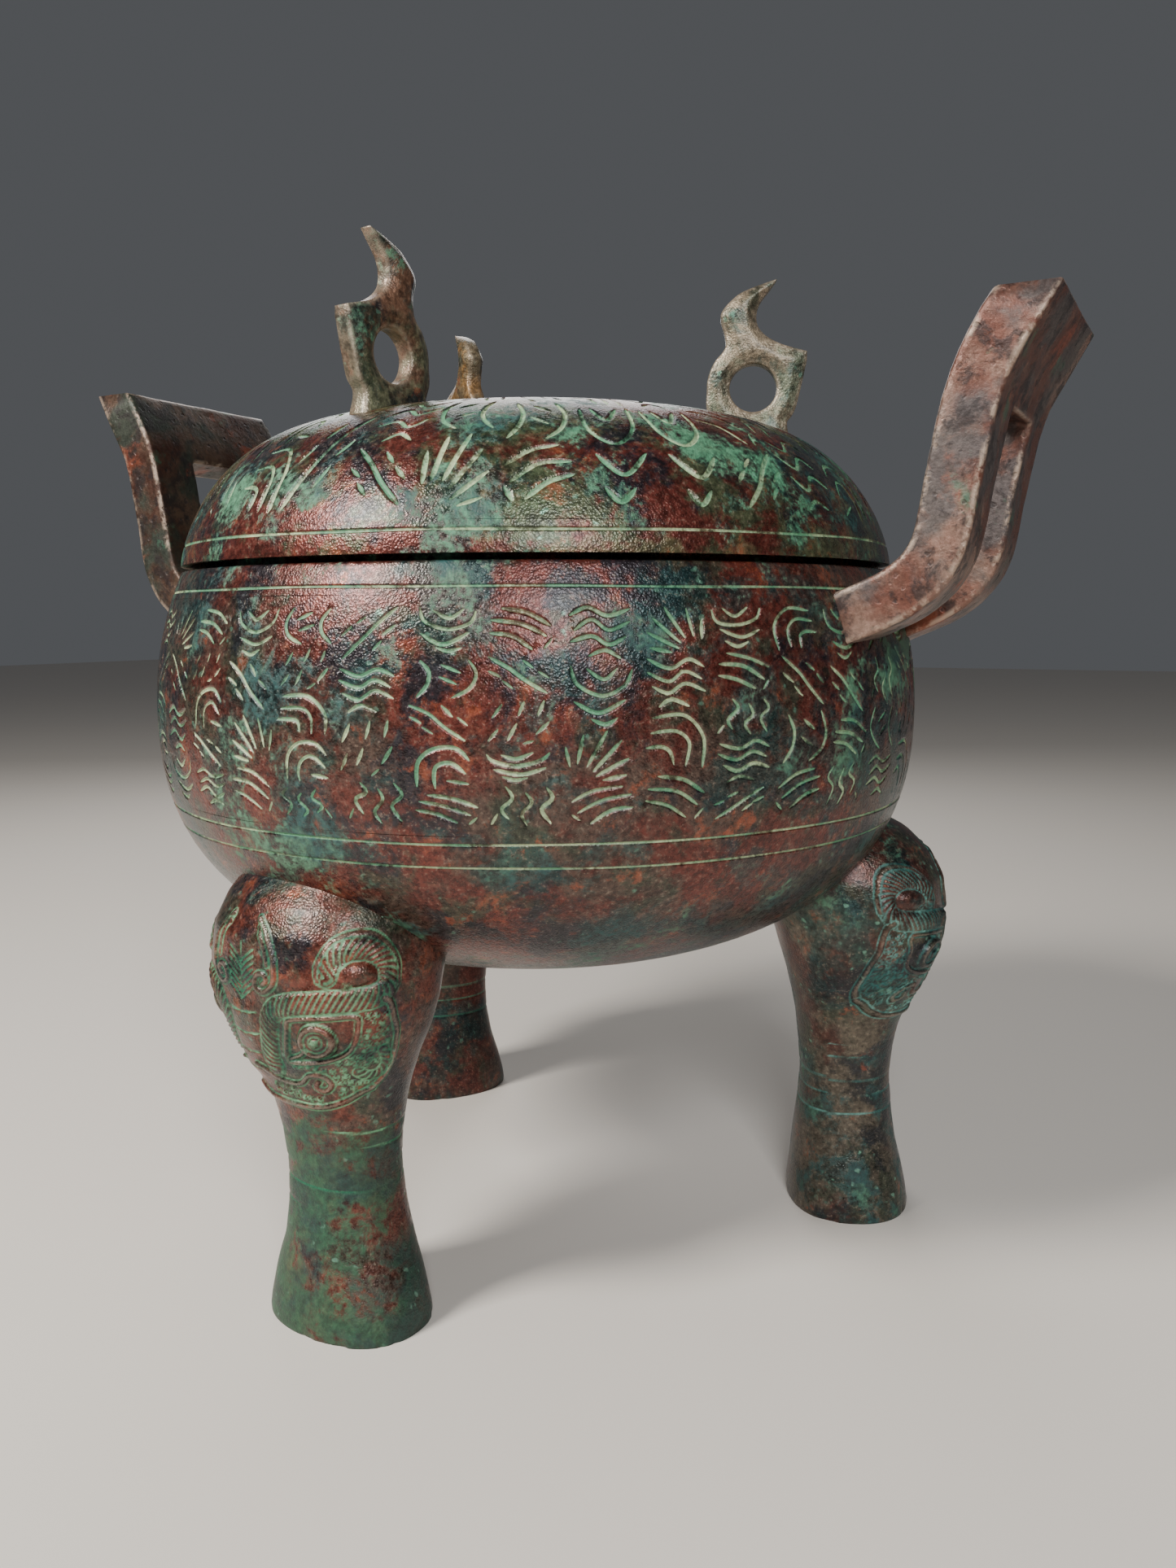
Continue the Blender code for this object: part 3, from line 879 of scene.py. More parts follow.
@dataclass
class Handle(Piece):
    """Upright handle: a thick U-shaped bar that bends outwards.

    Attributes:
        turn: Azimuth of the handle.
        seed: Shift of its dents and pits.
        width: Width over both rails, in millimetres, as are the next six.
        rail: Width of a rail.
        bridge: Height of the bar over the window.
        thickness: Thickness of the bar.
        edge: Radius of its edges.
        corner: Radius of the window's upper corners.
        corner_room: Length that a corner takes along the rail and the bridge.
        root_drop: How far the root lies under the lip, in metres, as are the last three.
        height: Height over the root.
        standoff: How far the bend stands off.
        flare: How far the top leans out past the bend.
        face_steps: Points across a broad face of the bar.
        edge_steps: Points across a narrow face.
    """

    turn: float
    seed: float
    width: float = 93.0
    rail: float = 26.0
    bridge: float = 33.0
    thickness: float = 19.5
    edge: float = 1.5
    corner: float = 2.2
    corner_room: float = 3.0
    root_drop: float = 0.0190
    height: float = 0.1070
    standoff: float = 0.0350
    flare: float = 0.0235
    face_steps: int = 17
    edge_steps: int = 12

    def path(self) -> np.ndarray:
        """Middle line of the bar in millimetres, outwards and up.

        Returns:
            Points of the line.
        """
        root_x, root_z = BOWL.lip_radius, BOWL.lip_height - self.root_drop
        knee = root_x + self.standoff
        keys = [(root_x - 0.40 * self.standoff, root_z - 0.045 * self.height), (root_x, root_z),
                (root_x + 0.59 * self.standoff, root_z + 0.09 * self.height),
                (root_x + 0.92 * self.standoff, root_z + 0.22 * self.height),
                (knee + 0.10 * self.flare, root_z + 0.47 * self.height),
                (knee + 0.38 * self.flare, root_z + 0.745 * self.height),
                (knee + self.flare, root_z + self.height)]
        return smooth_line([(x / MM, z / MM) for x, z in keys], 0.5)

    def stations(self, reach: float, window: float) -> list[Pair]:
        """Pairs of inner and outer edge points along the U, as across and along the path.

        Args:
            reach: Length of the path.
            window: Length along the path at the window's top.

        Returns:
            The pairs, from one root to the other.
        """
        outer_x, inner_x = self.width / 2, self.width / 2 - self.rail
        room, bend = self.corner_room, self.corner
        pairs = [((-inner_x, run), (-outer_x, run)) for run in np.linspace(0.0, window - room, 62)]
        for angle in np.linspace(0, math.pi / 2, 9)[1:-1]:
            inner = (-inner_x + bend * (1 - math.cos(angle)), window - bend * (1 - math.sin(angle)))
            ray = Vector((-math.cos(angle), math.sin(angle)))
            size = min(self.rail / max(-ray.x, 1e-6), (reach - window) / max(ray.y, 1e-6))
            corner = Vector((-inner_x, window)) + ray * size
            pairs.append((inner, (max(corner.x, -outer_x), min(corner.y, reach))))
        pairs += [((across, window), (across, reach)) for across in np.linspace(-inner_x + room, 0.0, 12)]
        mirrored = [((-inner[0], inner[1]), (-outer[0], outer[1])) for inner, outer in pairs[-2::-1]]
        return pairs + mirrored

    def fill(self, builder: MeshBuilder) -> None:
        """Sweep the bar's section along the U and bend it along the path.

        Args:
            builder: Where the mesh goes.
        """
        path = self.path()
        runs = np.r_[0.0, np.cumsum(np.hypot(*np.diff(path, axis=0).T))]
        reach = runs[-1]
        top_height = BOWL.lip_height - self.root_drop + self.height
        window = float(np.interp(top_height / MM - self.bridge, path[:, 1], runs))
        half, edge = self.thickness / 2, self.edge
        ring = self.section()
        ahead = np.gradient(path, axis=0)
        ahead /= np.hypot(ahead[:, 0], ahead[:, 1])[:, None]
        rows, wear = [], []
        for inner, outer in self.stations(reach, window):
            width = math.hypot(outer[0] - inner[0], outer[1] - inner[1])
            row = []
            for share, level in ring:
                flat = 0.0 < share < 1.0
                pull = edge / width
                place = share
                if flat:
                    cells = self.face_steps - 1
                    place = pull + (1 - 2 * pull) * ((share - 1 / cells) / ((cells - 2) / cells))
                if not flat and abs(level) > half - edge * 0.5:
                    place = pull * 0.35 if share == 0 else 1 - pull * 0.35
                    level = math.copysign(half - edge * 0.35, level)
                across = inner[0] + (outer[0] - inner[0]) * place
                run = inner[1] + (outer[1] - inner[1]) * place
                centre = np.array([np.interp(run, runs, path[:, axis]) for axis in range(2)])
                along = np.array([np.interp(run, runs, ahead[:, axis]) for axis in range(2)])
                out = np.array([along[1], -along[0]])
                level_out = np.array([1.0 / max(along[1], 0.3), 0.0])
                top = float(rise(np.array(run), reach - 16.0, reach))
                out = out * (1 - top) + level_out * top
                spot = centre + out * level
                row.append((spot[0] * MM, across * MM, spot[1] * MM))
            rows.append(row)
            wear.append([1.0 if share in (0.0, 1.0) and abs(level) > half - 2.5 else 0.0
                         for share, level in ring])
        grid = np.array(rows)
        grid = self.weather(grid)
        rotation = np.array(Matrix.Rotation(self.turn, 3, "Z"))
        grid = grid @ rotation.T
        flat = grid.reshape(-1, 3)
        flat = np.array([BOWL.keep_outside(Vector(point))[:] for point in flat])
        grid = flat.reshape(grid.shape)
        first = builder.add_grid(grid, 0.0, np.array(wear), wrap=True)
        for row in (0, len(rows) - 1):
            loop = [first + row * len(ring) + step for step in range(len(ring))]
            builder.add_fan(loop, grid[row].mean(axis=0))

    def section(self) -> list[tuple[float, float]]:
        """Cross-section of the bar, as shares across it and levels through it.

        Returns:
            The points, one after the other.
        """
        half, level = self.thickness / 2, self.thickness / 2 - self.edge
        back = [(share, -half) for share in np.linspace(0, 1, self.face_steps)]
        right = [(1.0, step) for step in np.linspace(-level, level, self.edge_steps)]
        face = [(share, half) for share in np.linspace(1, 0, self.face_steps)]
        left = [(0.0, step) for step in np.linspace(level, -level, self.edge_steps)]
        return back + right + face + left

    def weather(self, grid: np.ndarray) -> np.ndarray:
        """Dent and pit a bar's surface a little, inwards only.

        Args:
            grid: Points as rows by columns by three.

        Returns:
            The worn grid.
        """
        flat = grid.reshape(-1, 3)
        waves = place_noise(flat + self.seed, 55.0, 3)
        pits = place_noise(flat + self.seed * 2, 330.0, 2)
        depth = 0.00022 * (1 + waves) + 0.00050 * np.clip(pits - 0.32, 0, 1)
        around = np.roll(grid, -1, axis=1) - np.roll(grid, 1, axis=1)
        ahead = np.gradient(grid, axis=0)
        normal = np.cross(ahead, around)
        size = np.linalg.norm(normal, axis=2, keepdims=True)
        normal = normal / np.maximum(size, 1e-12)
        centre = grid.mean(axis=1, keepdims=True)
        facing = np.sign(((grid - centre) * normal).sum(axis=2, keepdims=True))
        return grid - normal * facing * depth.reshape(grid.shape[:2] + (1,))


@dataclass
class Ridge:
    """Raised or sunk line of a mask."""

    line: Line
    half_width: float
    height: float
    hatch: float = 0.0
    lean: float = 0.7


@dataclass
class Mask:
    """Animal mask as heights over a leg's unrolled surface, in millimetres.

    Attributes:
        drift: Heights with the place of the middle line there.
        lift: How far the mask sits above its drawn height.
        pitch: Distance between the twists of a rope.
        rope_keys: Line of the horn's rope.
        frame_keys: Line round the eye's socket.
        eye: Middle of the eye.
        scroll_keys: Line of the cheek's scroll.
        patch_keys: Edge of the granulated cheek.
        outline_keys: Edge of the half mask.
        ring_heights: Heights of the rings under the mask.
    """

    drift: Outline = ((0.0, 0.0),)
    lift: float = 0.0
    pitch: float = 2.35
    rope_keys: Outline = ((15.0, 102.6), (12.6, 107.0), (12.4, 113.2), (12.9, 121.4), (16.1, 127.4),
                          (22.1, 130.2), (30.9, 131.7), (39.7, 132.7), (48.0, 133.3), (54.7, 134.4),
                          (58.7, 137.5), (59.4, 143.2), (56.5, 147.9), (51.1, 150.8), (44.1, 150.6),
                          (38.9, 147.0), (37.0, 142.0))
    frame_keys: Outline = ((20.9, 122.3), (24.0, 125.0), (38.0, 126.6), (47.6, 126.9), (46.9, 121.2),
                           (44.6, 114.2), (38.7, 110.3), (29.3, 107.8), (20.9, 107.4), (19.9, 114.2))
    eye: tuple[float, float] = (32.6, 117.4)
    scroll_keys: Outline = ((55.9, 113.3), (57.0, 108.3), (54.8, 103.9), (50.9, 102.8), (47.2, 104.9))
    patch_keys: Outline = ((49.9, 127.5), (57.4, 128.7), (59.4, 121.6), (58.6, 110.6), (55.0, 102.0),
                           (48.4, 97.8), (42.3, 94.2), (33.8, 91.6), (21.1, 91.0), (9.0, 92.6),
                           (12.0, 96.0), (22.8, 94.8), (31.0, 93.6), (40.6, 95.2), (41.3, 99.8),
                           (36.7, 104.6), (27.0, 105.4), (19.8, 102.6), (19.6, 105.6), (38.9, 108.2),
                           (46.0, 111.6), (48.2, 118.3))
    outline_keys: Outline = ((0, 87.0), (12, 86.2), (24, 86.4), (35.3, 87.6), (45.4, 92.2), (53.0, 96.1),
                             (58.6, 101.6), (61.4, 110.5), (62.0, 121.8), (60.4, 130.9), (63.2, 137.2),
                             (63.6, 145.4), (58.9, 152.3), (50.5, 156.4), (41.8, 156.0), (35.0, 150.4),
                             (32.2, 141.3), (28.4, 136.9), (17.4, 134.6), (18.9, 144.6), (12.6, 154.0),
                             (0, 154.0))
    ring_heights: tuple[float, ...] = (78.0, 71.6, 61.6, 55.0, 45.4)
    rope: Ridge = field(init=False)
    ridges: list[Ridge] = field(init=False)
    cuts: list[Ridge] = field(init=False)
    beads: list[tuple[float, float, float, float]] = field(init=False)

    def __post_init__(self) -> None:
        """Lay out the mask's lines and beads."""
        eye = [(self.eye[0] + 5.9 * math.cos(turn), self.eye[1] + 5.5 * math.sin(turn))
               for turn in np.linspace(0, 2 * math.pi, 15)[:-1]]
        self.rope = Ridge(Line(list(self.rope_keys), 0.8), 3.9, 1.5, 0.66)
        self.ridges = [
            Ridge(Line(list(self.frame_keys), 0.8, closed=True), 0.85, 0.8),
            Ridge(Line(eye, 0.7, closed=True), 1.1, 1.2),
            Ridge(Line([(28.3, 113.2), (25.3, 110.3), (21.6, 108.6)], 0.8), 0.8, 0.8),
            Ridge(Line([(57.1, 133.1), (59.7, 130.3), (61.0, 121.8), (60.2, 110.7), (57.0, 101.6),
                        (52.4, 96.6)], 0.9),
                  1.2, 0.9),
            Ridge(Line([(5.0, 102.4), (11.6, 99.6), (19.3, 97.7), (26.4, 98.3), (29.9, 102.4),
                        (35.4, 102.5), (38.6, 99.0), (36.3, 96.2), (32.9, 97.4), (33.6, 99.8)], 0.7),
                  1.1, 1.1),
            Ridge(Line(list(self.scroll_keys), 0.8), 1.7, 1.1, 0.5),
            Ridge(Line([(0, 90.6), (5.6, 88.9), (14.2, 87.9), (24.9, 87.8), (35.3, 88.9), (42.8, 91.6),
                        (48.4, 94.9), (52.9, 96.9)], 0.9), 1.2, 1.1),
            Ridge(Line([(7.6, 158.4), (14.0, 152.1), (16.9, 144.3), (16.3, 137.2), (11.9, 133.6),
                        (8.0, 135.2), (8.8, 139.1), (12.1, 140.2), (13.7, 138.1), (11.8, 136.4)], 0.7),
                  1.0, 1.0),
            Ridge(Line([(8.5, 155.9), (12.0, 149.9), (13.8, 143.5)], 0.8), 0.8, 0.6),
            Ridge(Line([(34.3, 139.8), (33.4, 144.5), (37.7, 152.4), (43.4, 155.4), (51.4, 155.2),
                        (58.4, 151.0), (62.5, 144.6), (62.5, 137.6)], 0.8), 0.7, 0.6),
        ]
        self.cuts = [Ridge(Line([(0.4, level), (3.0, level + 2.2), (6.4, level + 4.5)], 0.7), 0.62, 0.65)
                     for level in np.arange(129.4, 145.5, 2.3)]
        self.cuts += [Ridge(Line([(0.0, level), (7.6, level + 0.8)], 0.8), 0.6, 0.5)
                      for level in (124.4, 115.6, 107.4, 99.6)]
        self.cuts.append(Ridge(Line([(0, 129), (0, 150)], 1.0), 0.5, 0.35))
        self.beads = [(44.3, 138.4, 1.25, 1.1), (*self.eye, 2.0, 1.2)] + self.granules()

    def granules(self) -> list[tuple[float, float, float, float]]:
        """Small beads of the cheek, clear of the scrolls.

        Returns:
            Place, radius and height of each bead.
        """
        patch = np.array(self.patch_keys)
        chance = np.random.default_rng(41)
        beads = []
        scroll = Line(list(self.scroll_keys), 1.0)
        for row, up in enumerate(np.arange(92.0, 130, 2.7)):
            for across in np.arange(8.0 + 1.6 * (row % 2), 60, 3.2):
                spot = np.array([across, up]) + chance.normal(0, 0.25, 2)
                if inside_outline(spot[None], patch)[0] and scroll.measure(spot[None])[0][0] > 2.9:
                    beads.append((spot[0], spot[1], float(chance.uniform(0.85, 1.15)), 0.8))
        return beads

    def heights(self, across: np.ndarray, up: np.ndarray) -> tuple[np.ndarray, np.ndarray, np.ndarray]:
        """Height, groove and wear values over the surface.

        Args:
            across: Length round the leg from its outer middle, in millimetres.
            up: Height above the foot, in millimetres.

        Returns:
            Height outwards in millimetres, groove fill and wear.
        """
        shape = across.shape
        level = up.ravel() - self.lift
        drift = np.array(self.drift)
        folded = np.abs(across.ravel() - np.interp(up.ravel(), drift[:, 0], drift[:, 1]))
        places = np.column_stack([folded, level])
        height = np.zeros(len(places))
        groove = np.zeros(len(places))
        wear = np.zeros(len(places))
        near = (level > 82) & (level < 164) & (folded < 68)
        spots = places[near]
        raised, fill, worn = self.relief(spots)
        height[near], groove[near], wear[near] = raised, fill, worn
        turn = across.ravel() / 34.0
        for line_height in self.ring_heights:
            waver = 0.9 * np.sin(turn * 1.3 + line_height) + 0.5 * np.sin(turn * 2.9 + 3 * line_height)
            gap = np.abs(up.ravel() - line_height - waver)
            faint = 0.35 + 0.65 * rise(np.sin(turn * 1.9 + 7 * line_height), -0.5, 0.5)
            cut = np.clip(1.2 - gap / 0.85, 0, 1) * faint
            height -= 0.40 * cut
            groove = np.maximum(groove, 0.95 * cut)
        return height.reshape(shape), groove.reshape(shape), wear.reshape(shape)

    def relief(self, spots: np.ndarray) -> tuple[np.ndarray, np.ndarray, np.ndarray]:
        """Height, groove and wear inside the mask.

        Args:
            spots: Places in the half mask.

        Returns:
            Height in millimetres, groove and wear.
        """
        folded, level = spots[:, 0], spots[:, 1]
        outline = np.array(self.outline_keys, float)
        border = Line([tuple(point) for point in outline], 1.5).measure(spots)[0]
        inner = inside_outline(spots, outline)
        height = np.where(inner, 0.6 * rise(border, 0.0, 1.6), 0.0)
        groove = np.where(inner, 0.22, 0.0) * rise(border, 0.0, 2.0)
        wear = np.zeros(len(spots))
        crown = np.maximum(0.0, 1 - ((folded - 46.8) / 7.4) ** 2 - ((level - 142.4) / 4.2) ** 2)
        height += 2.2 * np.sqrt(crown)
        socket = inside_outline(spots, self.ridges[0].line.points)
        height -= np.where(socket, 0.7, 0.0) * rise(self.ridges[0].line.measure(spots)[0], 0.2, 1.2)
        ball = np.maximum(0.0, 1 - ((folded - self.eye[0]) / 8.2) ** 2 - ((level - self.eye[1]) / 7.6) ** 2)
        height += 2.6 * np.sqrt(ball)
        ropes = [self.rope] + self.ridges
        top = np.zeros(len(spots))
        for ridge in ropes:
            distance, along, side = ridge.line.measure(spots)
            share = np.clip(distance / ridge.half_width, 0, 1)
            lift = ridge.height * np.sqrt(1 - share ** 2.6)
            if ridge.hatch:
                wave = 0.5 + 0.5 * np.cos(2 * math.pi * (along - ridge.lean * side) / self.pitch)
                lift = lift - ridge.hatch * wave * rise(1 - share, 0.02, 0.22)
                groove = np.maximum(groove, 0.85 * wave * (share < 0.97))
            else:
                groove = np.where(share < 0.9, groove * 0.4, groove)
            rim = np.exp(-((distance - ridge.half_width - 0.35) / 0.5) ** 2)
            groove = np.maximum(groove, 0.9 * rim)
            wear = np.maximum(wear, np.where(share < 0.5, 0.35, 0.0) * (0 if ridge.hatch else 1))
            top = np.maximum(top, lift)
        height += top
        for across, up, radius, lift in self.beads:
            gap = np.hypot(folded - across, level - up) / radius
            height += lift * np.sqrt(np.clip(1 - gap ** 2, 0, 1))
            groove = np.where(gap < 0.8, 0.75, groove)
            groove = np.maximum(groove, 0.8 * np.exp(-((gap - 1.25) / 0.3) ** 2))
        for cut in self.cuts:
            distance = cut.line.measure(spots)[0]
            share = np.clip(1 - distance / cut.half_width, 0, 1)
            height -= cut.height * np.minimum(1, 1.6 * share)
            groove = np.maximum(groove, np.minimum(1, 2.2 * share))
        bridge = rise(10.5 - folded, 0.0, 6.0) * rise(level, 93, 100) * (1 - rise(level, 124, 130))
        height += 1.1 * bridge
        return height, np.clip(groove, 0, 1), wear


def inside_outline(spots: np.ndarray, outline: np.ndarray) -> np.ndarray:
    """Whether each spot lies inside a closed outline.

    Args:
        spots: Spots, one to a row.
        outline: Corners of the outline.

    Returns:
        True for each spot that lies inside.
    """
    inside = np.zeros(len(spots), bool)
    for first, second in zip(outline, np.roll(outline, -1, axis=0)):
        spans = (first[1] > spots[:, 1]) != (second[1] > spots[:, 1])
        slope = (second[0] - first[0]) / ((second[1] - first[1]) or 1e-12)
        inside ^= spans & (spots[:, 0] < first[0] + slope * (spots[:, 1] - first[1]))
    return inside


@dataclass
class Leg(Piece):
    """Hoofed leg with an animal mask on its swollen shoulder.

    Attributes:
        azimuth: Place round the bowl.
        mask: Mask on its shoulder.
        inset: How far it stands in from the circle, in millimetres.
        lean: Sideways lean as a share of its height.
        depth: Depth as a share of the other legs'.
        circle: Radius of the circle that the legs stand on, in millimetres.
        height: Height of the leg, in millimetres.
        edge: Half the angle that the fine columns cover, in degrees.
        fullness: Power of the rounded section.
        profile: Height, shift, half depth and half width, as shares of the height.
        rows: Lowest height, highest height and number of points of each run of rows.
        front_columns: Fine columns on the mask's side.
        back_columns: Coarse columns on the inner side.
        beyond: Length round the leg that stands for outside the mask.
    """

    azimuth: float
    mask: Mask
    inset: float = 0.0
    lean: float = 0.0
    depth: float = 1.0
    circle: float = 139.0
    height: float = 178.0
    edge: float = 116
    fullness: float = 2.3
    profile: tuple[tuple[float, ...], ...] = (
        (0.000, 0.006, 0.153, 0.188), (0.040, 0.004, 0.149, 0.182), (0.095, 0.001, 0.140, 0.168),
        (0.165, -0.005, 0.128, 0.144), (0.245, -0.006, 0.118, 0.130), (0.330, -0.006, 0.112, 0.126),
        (0.410, -0.006, 0.118, 0.135), (0.475, -0.004, 0.128, 0.151), (0.530, 0.001, 0.143, 0.172),
        (0.585, 0.008, 0.163, 0.198), (0.640, 0.011, 0.182, 0.227), (0.705, 0.011, 0.202, 0.251),
        (0.785, 0.000, 0.219, 0.258), (0.855, -0.014, 0.225, 0.250), (0.912, -0.040, 0.222, 0.230),
        (0.962, -0.072, 0.203, 0.200), (1.000, -0.107, 0.160, 0.160),
    )
    rows: tuple[tuple[float, float, int], ...] = (
        (0, 1.6, 3), (1.6, 42, 20), (42, 84, 44), (84, 92, 14), (92, 163, 132), (163, 178, 10))
    front_columns: int = 254
    back_columns: int = 22
    beyond: float = 200.0

    def sections(self, levels: np.ndarray) -> np.ndarray:
        """Smooth shift, half depth and half width at some heights, in millimetres.

        Args:
            levels: Heights above the foot.

        Returns:
            The three values, one to a row.
        """
        table = np.array(self.profile)
        fine = np.linspace(-0.1, 1.1, 601)
        spread = np.exp(-np.linspace(-3, 3, 25) ** 2 / 2)
        spread /= spread.sum()
        out = []
        for column in (1, 2, 3):
            values = np.interp(fine, table[:, 0], table[:, column])
            low = fine < 0
            values[low] = 2 * table[0, column] - np.interp(-fine[low], table[:, 0], table[:, column])
            smooth = np.convolve(values, spread, mode="same")
            out.append(np.interp(levels / self.height, fine, smooth) * self.height)
        return np.array(out)

    def fill(self, builder: MeshBuilder) -> None:
        """Add the leg's surface with its relief.

        Args:
            builder: Where the mesh goes.
        """
        levels = np.concatenate([np.linspace(*row)[:-1] for row in self.rows] + [[self.height]])
        front = np.radians(np.linspace(-self.edge, self.edge, self.front_columns))
        back = np.radians(np.linspace(self.edge, 360 - self.edge, self.back_columns + 2)[1:-1])
        angles = np.r_[front, back]
        shift, depth, width = self.sections(levels)
        reach = np.abs(np.cos(angles)) ** self.fullness + np.abs(np.sin(angles)) ** self.fullness
        scale = reach ** (-1 / self.fullness)
        circle = self.circle - self.inset
        out = circle + (shift[:, None] + depth[:, None] * (scale * np.cos(angles))[None]) * self.depth
        side = width[:, None] * (scale * np.sin(angles))[None] + self.lean * levels[:, None]
        chord = np.hypot(np.diff(out, axis=1), np.diff(side, axis=1))
        arc = np.concatenate([np.zeros((len(levels), 1)), np.cumsum(chord, axis=1)], axis=1)
        half = self.front_columns // 2
        arc = arc - (arc[:, half - 1:half] + arc[:, half:half + 1]) / 2
        arc[:, len(front):] = self.beyond
        up = np.repeat(levels[:, None], len(angles), axis=1)
        height, groove, wear = self.mask.heights(arc, up)
        normal_out = np.cos(angles)[None] / depth[:, None] / self.depth
        normal_side = np.sin(angles)[None] / width[:, None]
        size = np.hypot(normal_out, normal_side)
        foot = rise(up, 0.0, 1.5)
        sole = np.column_stack([out[0], side[0], np.full(len(angles), 7.0)])
        chips = place_noise(sole * MM * 2 + self.azimuth, 42.0, 3)
        chips = 1.6 * np.clip(chips[None] - 0.18, 0, 1) * (1 - rise(up, 1.0, 5.5))
        spots = np.column_stack([out.ravel(), side.ravel(), up.ravel()])
        wobble = place_noise(spots * MM + self.azimuth, 60.0, 2)
        height = (height + 0.25 * wobble.reshape(up.shape) - 0.2) * foot - 0.5 * (1 - foot) - chips
        out = out + normal_out / size * height
        side = side + normal_side / size * height
        turn = self.azimuth
        grid = np.stack([out * math.cos(turn) - side * math.sin(turn),
                         out * math.sin(turn) + side * math.cos(turn), up], axis=-1) * MM
        flat = grid.reshape(-1, 3)
        deep = (np.hypot(flat[:, 0], flat[:, 1]) < 0.165) & (flat[:, 2] > 0.11)
        flat[deep] = [BOWL.keep_outside(Vector(point))[:] for point in flat[deep]]
        grid = flat.reshape(grid.shape)
        first = builder.add_grid(grid, groove, wear, wrap=True)
        base = [first + step for step in range(len(angles))]
        builder.add_fan(base, (circle * MM * math.cos(turn), circle * MM * math.sin(turn), 0.0))
        last = first + (len(levels) - 1) * len(angles)
        crown = Vector(grid[-1].mean(axis=0))
        builder.add_fan([last + step for step in range(len(angles))], BOWL.keep_outside(crown)[:])


# Pieces of the lid

@dataclass
class Dome(Piece):
    """Flattened dome with engraved columns, hollow underneath."""

    casting: Casting = field(default=Casting.LID, kw_only=True)
    panels: int = 32
    steps: int = 8
    start: float = math.radians(2.0)
    line_height: float = 0.2913
    crown_radius: float = 0.070
    groove_half: float = 0.75
    groove_depth: float = 0.65
    column_share: float = 0.86
    three_groups: float = 0.6
    ledge_radius: float = 0.1435

    def fill(self, builder: MeshBuilder) -> None:
        """Add the outer surface, the edge and the inside.

        Args:
            builder: Where the mesh goes.
        """
        profile = LID.outline()
        dome = TurnedRelief(builder, profile, self.panels, self.steps, self.start)
        total = dome.along[-1]
        line = float(np.interp(self.line_height, profile[:, 1], dome.along))
        low = line + 3.2
        high = float(np.interp(-self.crown_radius, -profile[:, 0], dome.along))
        edge_rows = [0.0, 0.4, 1.2, 3.0, line - 2.4, line + 2.0, low]
        dome.rows(edge_rows, [(line, self.groove_half, self.groove_depth)])
        writer = StrokeWriter(411, 1.10, 0.95)
        middle_radius = float(dome.at([(low + high) / 2])[0][0])
        room = 2 * math.pi * middle_radius / MM / self.panels * self.column_share
        for index in range(self.panels):
            groups = 3 if writer.chance.random() < self.three_groups else 2
            dome.panel(index, low, high, writer.column(room, low + 4.0, high - 1.5, groups))
        crown = [high + (total - high) * share for share in np.linspace(0, 0.93, 12)]
        dome.rows(crown, [])
        azimuth = dome.azimuths()
        radius, height, _ = dome.at([crown[-1]])
        top = LID.edge + LID.rise
        Bowl.turn(builder, [(float(radius[0]), float(height[0])), (0.004, top)], azimuth, top)
        skirt = LID.radius_at_edge - LID.skirt_wall
        inner = [(LID.radius_at_edge, LID.edge), (skirt + 0.0004, LID.edge), (skirt, LID.edge + 0.0004),
                 (skirt, LID.edge + LID.skirt), (self.ledge_radius, LID.edge + LID.skirt)]
        for radius in np.linspace(0.1405, 0.006, 14):
            shift = LID.wall * (radius / LID.radius_at_edge) ** 3
            inner.append((float(radius), LID.height(float(radius) + shift) - LID.wall))
        Bowl.turn(builder, inner, azimuth, top - LID.wall)


